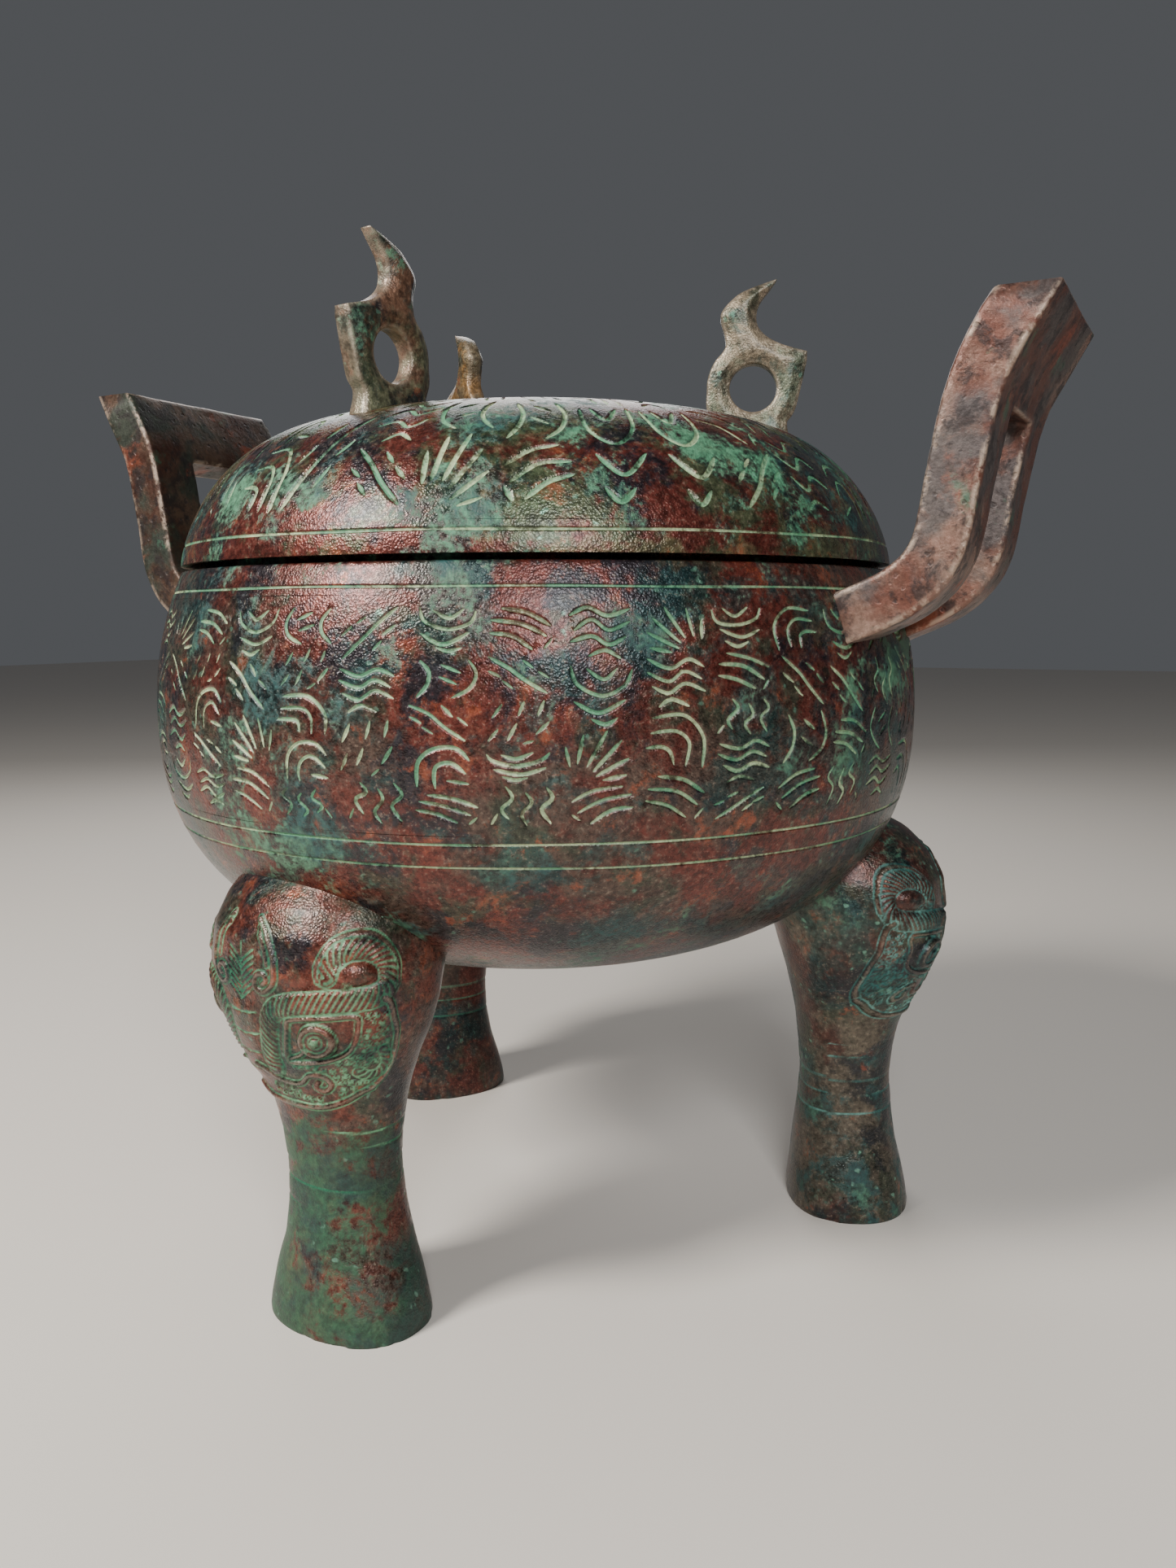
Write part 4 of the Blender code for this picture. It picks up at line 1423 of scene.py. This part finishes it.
@dataclass
class Knob(Piece):
    """Upright ring plate with a hooked horn, a spur and a spread foot."""

    azimuth: float
    casting: Casting = field(default=Casting.LID, kw_only=True)
    circle: float = 0.0922
    ring: float = 19.5
    hole: float = 10.0
    half_thickness: float = 5.2
    lift: float = 0.0174
    horn: Outline = ((-.60, .89), (-.63, 1.16), (-.71, 1.55), (-.40, 1.91), (-.06, 2.08), (.47, 2.25),
                     (.34, 2.07), (.11, 1.76), (.05, 1.42), (.17, 1.17), (.52, .93), (1.14, .74),
                     (1.14, .55))
    foot: Outline = ((.92, -.43), (.74, -.76), (.86, -1.30), (-.94, -1.30), (-.88, -.76), (-1.00, -.40))
    corners: Outline = ((.47, 2.25), (1.14, .74), (1.14, .55), (.86, -1.30), (-.94, -1.30))
    point_gap: float = 0.75
    lattice: tuple[float, float] = (1.1, 0.95)

    def outline(self) -> np.ndarray:
        """Closed outline in millimetres, smooth between its corners.

        Returns:
            Points of the outline.
        """
        arc = [(math.cos(math.radians(183 - 10 * step)), math.sin(math.radians(183 - 10 * step)))
               for step in range(6)]
        keys = list(self.horn + self.foot) + arc
        start = keys.index(self.corners[0])
        keys = keys[start:] + keys[:start] + [keys[start]]
        runs, run = [], [keys[0]]
        for key in keys[1:]:
            run.append(key)
            if key in self.corners:
                runs.append(run)
                run = [key]
        return np.vstack([smooth_line([(x * self.ring, y * self.ring) for x, y in part],
                                      self.point_gap)[:-1] for part in runs])

    def fill(self, builder: MeshBuilder) -> None:
        """Add both faces and the edges of the plate.

        Args:
            builder: Where the mesh goes.
        """
        outer = self.outline()
        hole = np.array([(self.hole * math.cos(turn), self.hole * math.sin(turn))
                         for turn in np.linspace(0, 2 * math.pi, 85)[:-1]])
        low, high = outer.min(axis=0), outer.max(axis=0)
        lattice = np.array([(x + self.lattice[0] / 2 * (row % 2), y)
                            for row, y in enumerate(np.arange(low[1], high[1], self.lattice[1]))
                            for x in np.arange(low[0], high[0], self.lattice[0])])
        rims = [Line([tuple(point) for point in loop], self.point_gap, closed=True)
                for loop in (outer, hole)]
        for rim, loop in zip(rims, (outer, hole)):
            rim.points = np.vstack([loop, loop[:1]])
        gap = np.minimum(rims[0].measure(lattice)[0], rims[1].measure(lattice)[0])
        keep = inside_outline(lattice, outer) & ~inside_outline(lattice, hole) & (gap > 0.45)
        flat = np.vstack([outer, hole, lattice[keep]])
        loops = [(0, len(outer)), (len(outer), len(outer) + len(hole))]
        edges = [(start + step, start + (step + 1) % (end - start)) for start, end in loops
                 for step in range(end - start)]
        result = delaunay_2d_cdt([Vector(point) for point in flat], edges, [], 0, 1e-5, False)
        flat = np.array([point[:] for point in result[0]])
        centres = np.array([flat[list(triangle)].mean(axis=0) for triangle in result[2]])
        solid = inside_outline(centres, outer) & ~inside_outline(centres, hole)
        gap = np.minimum(rims[0].measure(flat)[0], rims[1].measure(flat)[0])
        half, wear = self.thickness(flat, gap)
        sides = []
        for sign in (1, -1):
            first = builder.add_points(self.stand(flat, sign * half), 0.0, wear)
            sides.append(first)
            builder.faces += [tuple(first + corner for corner in triangle)
                              for triangle, inside in zip(result[2], solid) if inside]
        for start, end in loops:
            rim_numbers = [result[3].index([number]) if [number] in result[3] else number
                           for number in range(start, end)]
            count = len(rim_numbers)
            previous = [sides[0] + number for number in rim_numbers]
            for share in (0.33, -0.33):
                spots = flat[rim_numbers]
                bulge = self.stand(spots, half[rim_numbers] * share)
                first = builder.add_points(bulge, 0.0, 0.5)
                row = [first + step for step in range(count)]
                self.strip(builder, previous, row)
                previous = row
            self.strip(builder, previous, [sides[1] + number for number in rim_numbers])

    @staticmethod
    def strip(builder: MeshBuilder, first: list[int], second: list[int]) -> None:
        """Faces between two closed loops of points.

        Args:
            builder: Where the mesh goes.
            first: Numbers of one loop.
            second: Numbers of the other loop.
        """
        for step in range(len(first)):
            after = (step + 1) % len(first)
            builder.faces.append((first[step], first[after], second[after], second[step]))

    def thickness(self, flat: np.ndarray, gap: np.ndarray) -> tuple[np.ndarray, np.ndarray]:
        """Half thickness and wear over the plate.

        Args:
            flat: Places on the plate.
            gap: Their distance from its edges.

        Returns:
            Half thickness in millimetres, and wear.
        """
        above = rise(flat[:, 1], 0.9 * self.ring, 1.15 * self.ring)
        ring = self.half_thickness * np.minimum(1.0, 0.66 + 0.07 * gap)
        horn = self.half_thickness * np.minimum(1.0, 0.50 + 0.13 * gap)
        half = ring * (1 - above) + horn * above
        foot = rise(-flat[:, 1], 0.7 * self.ring, 1.25 * self.ring)
        half = half * (1 + 0.30 * foot)
        wear = 1 - rise(gap, 0.2, 1.6)
        wobble = place_noise(np.column_stack([flat * MM, np.full(len(flat), self.azimuth)]), 170.0, 2)
        return half + 0.18 * wobble - 0.15, wear

    def stand(self, flat: np.ndarray, level: np.ndarray) -> np.ndarray:
        """Plate points in the bowl's frame, with the foot kept inside the lid's wall.

        Args:
            flat: Places on the plate.
            level: Their distance from its middle plane.

        Returns:
            The points in metres.
        """
        base = LID.height(self.circle) + self.lift
        out = self.circle + flat[:, 0] * MM
        side = np.asarray(level) * MM
        points = np.column_stack([out * math.cos(self.azimuth) - side * math.sin(self.azimuth),
                                  out * math.sin(self.azimuth) + side * math.cos(self.azimuth),
                                  base + flat[:, 1] * MM])
        reach = np.hypot(points[:, 0], points[:, 1])
        floor = np.array([LID.height(float(radius)) for radius in reach]) - LID.wall / 2
        points[:, 2] = np.maximum(points[:, 2], floor)
        return points


# Node graphs

@dataclass(frozen=True, eq=False)
class Shade:
    """A value of a material's node graph that can be reckoned with."""

    graph: "Graph"
    socket: bpy.types.NodeSocket

    def __add__(self, other: "Shade | float") -> "Shade":
        """Sum with another value."""
        return self.graph.math("ADD", self, other)

    def __radd__(self, other: "Shade | float") -> "Shade":
        """Sum with a number before it."""
        return self.graph.math("ADD", other, self)

    def __sub__(self, other: "Shade | float") -> "Shade":
        """This value less another."""
        return self.graph.math("SUBTRACT", self, other)

    def __rsub__(self, other: "Shade | float") -> "Shade":
        """A number less this value."""
        return self.graph.math("SUBTRACT", other, self)

    def __mul__(self, other: "Shade | float") -> "Shade":
        """Product with another value."""
        return self.graph.math("MULTIPLY", self, other)

    def __rmul__(self, other: "Shade | float") -> "Shade":
        """Product with a number before it."""
        return self.graph.math("MULTIPLY", other, self)


class Graph:
    """Node graph of one material."""

    def __init__(self, name: str) -> None:
        """Start an empty material.

        Args:
            name: Name of the material.
        """
        self.material = bpy.data.materials.new(name)
        self.material.use_nodes = True
        self.tree = self.material.node_tree
        self.tree.nodes.clear()

    def node(self, kind: str, settings: dict | None = None, inputs: dict | None = None) -> bpy.types.Node:
        """Add a node.

        Args:
            kind: Type of the node.
            settings: Properties, set before the sockets.
            inputs: Values or links of sockets, by name or number.

        Returns:
            The node.
        """
        made = self.tree.nodes.new(kind)
        for key, value in (settings or {}).items():
            setattr(made, key, value)
        for key, value in (inputs or {}).items():
            socket = made.inputs[key]
            if isinstance(value, Shade):
                self.tree.links.new(value.socket, socket)
            else:
                socket.default_value = value
        return made

    def math(self, operation: str, first: Shade | float, second: Shade | float) -> Shade:
        """Math node on numbers or values."""
        made = self.node("ShaderNodeMath", {"operation": operation}, {0: first, 1: second})
        return Shade(self, made.outputs[0])

    def place(self) -> Shade:
        """Object coordinates, in metres."""
        return Shade(self, self.node("ShaderNodeTexCoord").outputs["Object"])

    def moved(self, vector: Shade, offset: tuple[float, float, float]) -> Shade:
        """Coordinates moved by an offset."""
        made = self.node("ShaderNodeVectorMath", {"operation": "ADD"}, {0: vector, 1: offset})
        return Shade(self, made.outputs[0])

    def warped(self, vector: Shade, scale: float, amount: float) -> Shade:
        """Coordinates pushed about by noise.

        Args:
            vector: Coordinates.
            scale: Scale of the noise.
            amount: Size of the push.

        Returns:
            The pushed coordinates.
        """
        push = self.node("ShaderNodeTexNoise", {}, {"Vector": vector, "Scale": scale, "Detail": 2.0})
        centred = self.node("ShaderNodeVectorMath", {"operation": "SUBTRACT"},
                            {0: Shade(self, push.outputs["Color"]), 1: (0.5, 0.5, 0.5)})
        made = self.node("ShaderNodeVectorMath", {"operation": "MULTIPLY_ADD"},
                         {0: Shade(self, centred.outputs[0]), 1: (amount, amount, amount), 2: vector})
        return Shade(self, made.outputs[0])

    def noise(self, vector: Shade, scale: float, detail: float = 4.0, rough: float = 0.55) -> Shade:
        """Noise value about 0.5."""
        made = self.node("ShaderNodeTexNoise", {},
                         {"Vector": vector, "Scale": scale, "Detail": detail, "Roughness": rough})
        return Shade(self, made.outputs["Fac"])

    def cells(self, vector: Shade, scale: float) -> Shade:
        """Distance to the nearest cell centre."""
        made = self.node("ShaderNodeTexVoronoi", {}, {"Vector": vector, "Scale": scale})
        return Shade(self, made.outputs["Distance"])

    def step(self, value: Shade, low: float, high: float, start: float = 0.0, end: float = 1.0) -> Shade:
        """Smooth step of a value between two limits."""
        made = self.node("ShaderNodeMapRange", {"interpolation_type": "SMOOTHSTEP"},
                         {"Value": value, "From Min": low, "From Max": high, "To Min": start,
                          "To Max": end})
        return Shade(self, made.outputs["Result"])

    def mix(self, share: Shade | float, first: Shade | Tint, second: Shade | Tint) -> Shade:
        """Mix of two colours."""
        made = self.node("ShaderNodeMix", {"data_type": "RGBA"}, {"Factor": share, 6: first, 7: second})
        return Shade(self, made.outputs[2])

    def scaled(self, tint: Shade, share: Shade) -> Shade:
        """A colour made lighter or darker."""
        made = self.node("ShaderNodeVectorMath", {"operation": "SCALE"}, {0: tint, "Scale": share})
        return Shade(self, made.outputs[0])

    def vertex(self, channel: Channel) -> Shade:
        """A vertex value of the piece."""
        made = self.node("ShaderNodeAttribute", {"attribute_name": channel.value})
        return Shade(self, made.outputs["Fac"])

    def height(self, vector: Shade) -> Shade:
        """Height part of a coordinate."""
        made = self.node("ShaderNodeSeparateXYZ", {}, {0: vector})
        return Shade(self, made.outputs["Z"])

    def bump(self, height: Shade, strength: float, distance: float, normal: Shade | None = None) -> Shade:
        """Bump on top of another normal.

        Args:
            height: Height value.
            strength: Strength of the bump.
            distance: Height in metres that a value of 1 stands for.
            normal: Normal that it adds to, if any.

        Returns:
            The new normal.
        """
        inputs = {"Height": height, "Strength": strength, "Distance": distance}
        if normal is not None:
            inputs["Normal"] = normal
        return Shade(self, self.node("ShaderNodeBump", {}, inputs).outputs["Normal"])

    def surface(self, inputs: dict) -> bpy.types.Material:
        """Join a principled surface to the output and return the material.

        Args:
            inputs: Values or links of the surface's sockets.

        Returns:
            The material.
        """
        shader = self.node("ShaderNodeBsdfPrincipled", {}, inputs)
        self.node("ShaderNodeOutputMaterial", {}, {"Surface": Shade(self, shader.outputs[0])})
        return self.material


def colour(red: int, green: int, blue: int) -> Tint:
    """Linear colour from screen values of 0 to 255."""
    linear = [((value / 255 + 0.055) / 1.055) ** 2.4 if value > 10 else value / 3295
              for value in (red, green, blue)]
    return (*linear, 1.0)


@dataclass(frozen=True)
class Patina:
    """Finish of old cast bronze: worn metal under coloured corrosion."""

    name: str
    ground: Tint = colour(92, 42, 34)
    second: Tint = colour(74, 58, 50)
    dark: Tint = colour(28, 33, 40)
    olive: Tint = colour(50, 62, 48)
    copper: Tint = colour(136, 66, 40)
    green: Tint = colour(72, 118, 90)
    teal: Tint = colour(24, 66, 64)
    fill: Tint = colour(190, 206, 160)
    fill_green: Tint = colour(96, 158, 118)
    worn: Tint = colour(178, 160, 140)
    green_share: float = 0.53
    dark_share: float = 0.50
    olive_share: float = 0.50
    copper_share: float = 0.61
    speck_share: float = 0.35
    crust_low: float = 0.0
    crust_high: float = 0.0
    crust_band: tuple[float, float] = (0.110, 0.040)
    shine: float = 0.29
    metal: float = 0.45
    offset: float = 0.0
    damp_share: float = 0.0

    def build(self) -> bpy.types.Material:
        """Make the material.

        Returns:
            The material.
        """
        graph = Graph(self.name)
        spot = graph.moved(graph.place(), (self.offset, self.offset * 0.7, self.offset * 1.3))
        drift = graph.warped(spot, 34.0, 0.014)
        fine = graph.noise(spot, 420.0, 5.0, 0.62)
        grit = graph.noise(graph.moved(spot, (2.2, 6.1, 3.3)), 950.0, 4.0, 0.6)
        broad = graph.noise(drift, 14.0, 6.0, 0.60)
        middle = graph.noise(graph.moved(drift, (3.1, 1.7, 5.2)), 30.0, 9.0, 0.70)
        small = graph.noise(graph.moved(drift, (7.3, 4.1, 0.6)), 70.0, 9.0, 0.72)
        patch = graph.noise(graph.moved(drift, (1.3, 8.4, 2.9)), 30.0, 10.0, 0.72)
        moss = graph.noise(graph.moved(drift, (5.5, 0.4, 8.9)), 38.0, 8.0, 0.68)
        base = graph.mix(graph.step(broad + (small - 0.5) * 0.5, 0.45, 0.56), self.ground, self.second)
        base = graph.mix(graph.step(moss, self.olive_share, self.olive_share + 0.10) * 0.75, base,
                         self.olive)
        base = graph.mix(graph.step(middle, self.dark_share, self.dark_share + 0.09) * 0.88, base,
                         self.dark)
        base = graph.mix(graph.step(small, self.copper_share - 0.05, self.copper_share + 0.05) * 0.60,
                         base, self.copper)
        base = graph.mix(graph.step(patch, 0.49, 0.56) * 0.55, base, self.teal)
        base = graph.scaled(base, graph.step(fine * 0.6 + small * 0.4, 0.34, 0.66, 0.38, 1.62))
        base = graph.mix(graph.step(grit + (fine - 0.5) * 0.6, 0.56, 0.76) * 0.28, base, self.worn)
        level = graph.height(graph.place())
        band = graph.step(level, self.crust_band[0], self.crust_band[1], 0.0, self.crust_low)
        crust_value = patch * 0.75 + small * 0.25 + (fine - 0.5) * 0.20 + band
        if self.crust_high:
            crust_value = crust_value + graph.step(level, 0.146, 0.160, 0.0, self.crust_high)
        if self.damp_share:
            crust_value = crust_value + graph.vertex(Channel.DAMP) * self.damp_share
        crust = graph.step(crust_value, self.green_share + 0.025, self.green_share + 0.110)
        tone = graph.step(broad + (middle - 0.5) * 0.7, 0.43, 0.56)
        crust_tint = graph.scaled(graph.mix(tone, self.green, self.teal),
                                  graph.step(fine, 0.32, 0.68, 0.62, 1.40))
        base = graph.mix(crust * 0.84, base, crust_tint)
        dust = graph.cells(graph.warped(spot, 160.0, 0.006), 170.0)
        flecks = graph.step(dust, 0.22, 0.10) * graph.step(moss, 0.50, 0.58)
        base = graph.mix(flecks * self.speck_share, base, colour(122, 176, 150))
        groove = graph.vertex(Channel.GROOVE)
        held = graph.step(small + (fine - 0.5) * 0.4, 0.36, 0.50, 0.20, 1.0)
        filling = graph.step(groove, 0.28, 0.88) * held
        fill_tint = graph.mix(graph.step(middle, 0.40, 0.58), self.fill, self.fill_green)
        base = graph.mix(filling * 0.92, base,
                         graph.scaled(fill_tint, graph.step(grit, 0.30, 0.70, 0.70, 1.15)))
        # Pale worn colour where the wear value is high: wear on edges and ridges, and on the rims of the
        # incised strokes partly painted highlight.
        wear = graph.vertex(Channel.WEAR) * graph.step(small, 0.36, 0.56, 0.15, 1.0)
        base = graph.mix(wear * 0.72, base, self.worn)
        rough = self.shine + crust * 0.24 + filling * 0.30 + (fine - 0.5) * 0.40 - wear * 0.05
        metal = (1.0 - crust) * (1.0 - filling) * self.metal
        grain = graph.cells(graph.warped(spot, 400.0, 0.0015), 1150.0)
        normal = graph.bump(grain, 0.30, 0.0005)
        normal = graph.bump(grit, 0.22, 0.0004, normal)
        normal = graph.bump(crust * (0.6 + fine * 0.8), 0.35, 0.0005, normal)
        return graph.surface({"Base Color": base, "Roughness": rough, "Metallic": metal, "Normal": normal,
                              "Coat Weight": 0.16, "Coat Roughness": 0.26})


@dataclass(frozen=True)
class WornBronze:
    """Finish of the handled parts: brown and grey metal with dark pits."""

    name: str
    light: Tint = colour(122, 98, 86)
    middle: Tint = colour(92, 58, 48)
    grey: Tint = colour(78, 80, 80)
    dark: Tint = colour(40, 34, 34)
    copper: Tint = colour(150, 78, 54)
    offset: float = 0.0

    def build(self) -> bpy.types.Material:
        """Make the material.

        Returns:
            The material.
        """
        graph = Graph(self.name)
        spot = graph.moved(graph.place(), (self.offset, self.offset * 0.7, self.offset * 1.3))
        drift = graph.warped(spot, 40.0, 0.012)
        broad = graph.noise(drift, 22.0, 7.0, 0.64)
        cool = graph.noise(graph.moved(drift, (2.0, 7.0, 4.0)), 30.0, 7.0, 0.64)
        small = graph.noise(graph.moved(drift, (4.0, 2.0, 1.0)), 90.0, 8.0, 0.70)
        rust = graph.noise(graph.moved(drift, (9.0, 5.0, 3.0)), 32.0, 7.0, 0.66)
        fine = graph.noise(spot, 520.0, 5.0, 0.62)
        base = graph.mix(graph.step(broad, 0.42, 0.60), self.middle, self.light)
        base = graph.mix(graph.step(cool, 0.46, 0.60) * 0.75, base, self.grey)
        base = graph.mix(graph.step(small, 0.48, 0.60) * 0.80, base, self.dark)
        base = graph.mix(graph.step(rust, 0.56, 0.66) * 0.65, base, self.copper)
        base = graph.scaled(base, graph.step(fine * 0.5 + small * 0.5, 0.34, 0.64, 0.72, 1.24))
        damp = graph.noise(graph.moved(drift, (6.0, 1.0, 8.0)), 44.0, 8.0, 0.68)
        base = graph.mix(graph.step(damp, 0.60, 0.68) * 0.5, base, colour(70, 118, 94))
        pits = graph.cells(graph.warped(spot, 200.0, 0.004), 210.0)
        pit = graph.step(pits, 0.27, 0.12) * graph.step(small, 0.42, 0.54)
        base = graph.mix(pit * 0.55, base, self.dark)
        wear = graph.vertex(Channel.WEAR)
        base = graph.mix(wear * graph.step(small + (fine - 0.5) * 0.4, 0.44, 0.60) * 0.6, base,
                         colour(196, 172, 152))
        rough = 0.38 + (fine - 0.5) * 0.45 + pit * 0.2 + graph.step(cool, 0.40, 0.62, 0.0, 0.10)
        normal = graph.bump(fine, 0.36, 0.0006)
        normal = graph.bump(small, 0.40, 0.0014, normal)
        normal = graph.bump(1.0 - pit, 0.45, 0.0008, normal)
        return graph.surface({"Base Color": base, "Roughness": rough, "Metallic": 0.45, "Normal": normal,
                              "Coat Weight": 0.05, "Coat Roughness": 0.4})


# Studio

@dataclass(frozen=True)
class Softbox:
    """Large soft lamp."""

    name: str
    place: tuple[float, float, float]
    size: float
    power: float
    tint: tuple[float, float, float] = (1.0, 1.0, 1.0)

    def make(self, target: Vector) -> None:
        """Add the lamp, turned to a target.

        Args:
            target: Point that it faces.
        """
        data = bpy.data.lights.new(self.name, "AREA")
        data.shape = "SQUARE"
        data.size = self.size
        data.energy = self.power
        data.color = self.tint
        lamp = bpy.data.objects.new(self.name, data)
        lamp.location = self.place
        lamp.rotation_euler = (target - lamp.location).to_track_quat("-Z", "Y").to_euler()
        bpy.context.scene.collection.objects.link(lamp)


@dataclass(frozen=True)
class Studio:
    """Camera, pale floor and soft light."""

    position: tuple[float, float, float] = (0.2761, -0.4744, 0.2627)
    azimuth: float = 117.99
    pitch: float = 7.715
    roll: float = -0.185
    lens: float = 28.19
    lamps: tuple[Softbox, ...] = (
        Softbox("key", (-0.62, -1.12, 1.22), 0.36, 32.0, (1.0, 0.97, 0.92)),
        Softbox("front", (0.72, -1.00, 0.92), 0.42, 12.0, (0.96, 0.98, 1.0)),
        Softbox("back", (-0.70, 1.00, 1.00), 0.80, 6.0),
    )

    def make(self, shift: Vector) -> None:
        """Add everything round the object.

        Args:
            shift: Place of the bowl's axis in the frame.
        """
        self.add_camera(shift)
        self.add_floor()
        for lamp in self.lamps:
            lamp.make(Vector((0.0, 0.0, 0.2)))
        world = bpy.data.worlds.new("studio")
        world.use_nodes = True
        background = world.node_tree.nodes["Background"]
        background.inputs["Color"].default_value = (0.72, 0.75, 0.80, 1.0)
        background.inputs["Strength"].default_value = 0.12
        bpy.context.scene.world = world
        LOG.info("studio: %d lamps", len(self.lamps))

    def add_camera(self, shift: Vector) -> None:
        """Add the camera that matches the photograph.

        Args:
            shift: Place of the bowl's axis in the frame.
        """
        azimuth, pitch, roll = (math.radians(value) for value in (self.azimuth, self.pitch, self.roll))
        forward = Vector((math.cos(azimuth) * math.cos(pitch), math.sin(azimuth) * math.cos(pitch),
                          -math.sin(pitch)))
        right = Vector((math.sin(azimuth), -math.cos(azimuth), 0.0))
        above = right.cross(forward)
        turned_right = right * math.cos(roll) + above * math.sin(roll)
        turned_up = above * math.cos(roll) - right * math.sin(roll)
        data = bpy.data.cameras.new("camera")
        data.sensor_fit = "VERTICAL"
        data.sensor_height = 36.0
        data.lens = self.lens
        data.clip_start = 0.01
        camera = bpy.data.objects.new("camera", data)
        place = Matrix((turned_right, turned_up, -forward)).transposed().to_4x4()
        place.translation = Vector(self.position) + shift
        camera.matrix_world = place
        bpy.context.scene.collection.objects.link(camera)
        bpy.context.scene.camera = camera

    @staticmethod
    def add_floor() -> None:
        """Add the plain pale floor."""
        mesh = bpy.data.meshes.new("floor")
        half = 6.0
        corners = [(-half, -half, 0), (half, -half, 0), (half, half, 0), (-half, half, 0)]
        mesh.from_pydata(corners, [], [(0, 1, 2, 3)])
        floor = bpy.data.objects.new("floor", mesh)
        bpy.context.scene.collection.objects.link(floor)
        graph = Graph("floor")
        mesh.materials.append(graph.surface({"Base Color": colour(232, 224, 214), "Roughness": 0.7}))


def main() -> None:
    """Build every piece in order."""
    logging.basicConfig(level=logging.INFO, format="%(name)s: %(message)s", stream=sys.stdout)
    shift = Vector((0.0, CAD_BOX[1][1] - BOWL.belly_radius, 0.0))
    body = Patina("body_bronze", damp_share=0.06).build()
    lid = Patina("lid_patina", second=colour(90, 82, 58), olive=colour(66, 88, 62), olive_share=0.475,
                 green=colour(74, 128, 96), green_share=0.490, dark_share=0.51, offset=2.0).build()
    dark_leg = Patina("dark_leg_bronze", ground=colour(84, 52, 44), second=colour(88, 80, 68),
                      dark_share=0.505,
                      copper_share=0.63, green_share=0.535, crust_low=0.045, crust_high=0.05, offset=5.0,
                      fill=colour(112, 168, 156), fill_green=colour(34, 98, 92), speck_share=0.6,
                      shine=0.34).build()
    brown_leg = Patina("brown_leg_bronze", ground=colour(96, 48, 40), dark_share=0.50, copper_share=0.62,
                       fill=colour(112, 160, 128), fill_green=colour(40, 104, 84), green_share=0.56,
                       crust_high=0.05, offset=3.3, shine=0.40).build()
    green_leg = Patina("green_leg_bronze", ground=colour(104, 52, 40), green=colour(26, 74, 48),
                       teal=colour(14, 50, 42), fill=colour(118, 176, 130), fill_green=colour(24, 100, 70),
                       green_share=0.545, crust_low=0.160, crust_high=0.04, crust_band=(0.100, 0.066),
                       offset=5.0, shine=0.30).build()
    # The handles' finishes differ partly in tone and partly as painted light: the right handle's colours
    # are lighter where light falls on it, the left handle's darker where it lies in shade.
    worn = [
        WornBronze("lit_right_handle_bronze", light=colour(142, 114, 100), middle=colour(106, 66, 54)).build(),
        WornBronze("shaded_left_handle_bronze", light=colour(92, 72, 58), middle=colour(72, 44, 34),
                   grey=colour(38, 58, 50), offset=2.0).build(),
    ]
    knobs = [
        Patina("pale_knob_bronze", ground=colour(132, 118, 98), second=colour(100, 104, 86),
               dark_share=0.55,
               copper_share=0.70, green_share=0.53, offset=4.0, shine=0.42).build(),
        Patina("golden_knob_bronze", ground=colour(146, 108, 62), second=colour(116, 98, 70),
               dark_share=0.56,
               green_share=0.55, offset=7.0, shine=0.42).build(),
        Patina("olive_knob_bronze", ground=colour(124, 90, 70), second=colour(112, 112, 86),
               dark_share=0.51,
               green_share=0.50, offset=9.0, shine=0.42).build(),
    ]
    Bowl("bowl").make(shift, body)
    turns = [math.radians(azimuth) for azimuth, _ in LEG_PLACES]
    Leg("leg_0", turns[0], Mask(lift=4.5)).make(shift, dark_leg)
    Leg("leg_1", turns[1], Mask(lift=3.0)).make(shift, brown_leg)
    drift = ((88.0, -22.0), (97.7, -19.0), (107.0, -14.1), (120.0, -9.7), (138.0, -7.8), (160.0, -7.5))
    Leg("leg_2", turns[2], Mask(drift), inset=12.6, lean=-0.05, depth=0.92).make(shift, green_leg)
    for index in range(2):
        Handle(f"handle_{index}", math.pi * index, 1.3 + index).make(shift, worn[index])
    Dome("dome").make(shift, lid)
    for index in range(3):
        Knob(f"knob_{index}", math.radians(22.8 + 120.0 * index)).make(shift, knobs[index])
    Studio().make(shift)


if __name__ == "__main__":
    main()
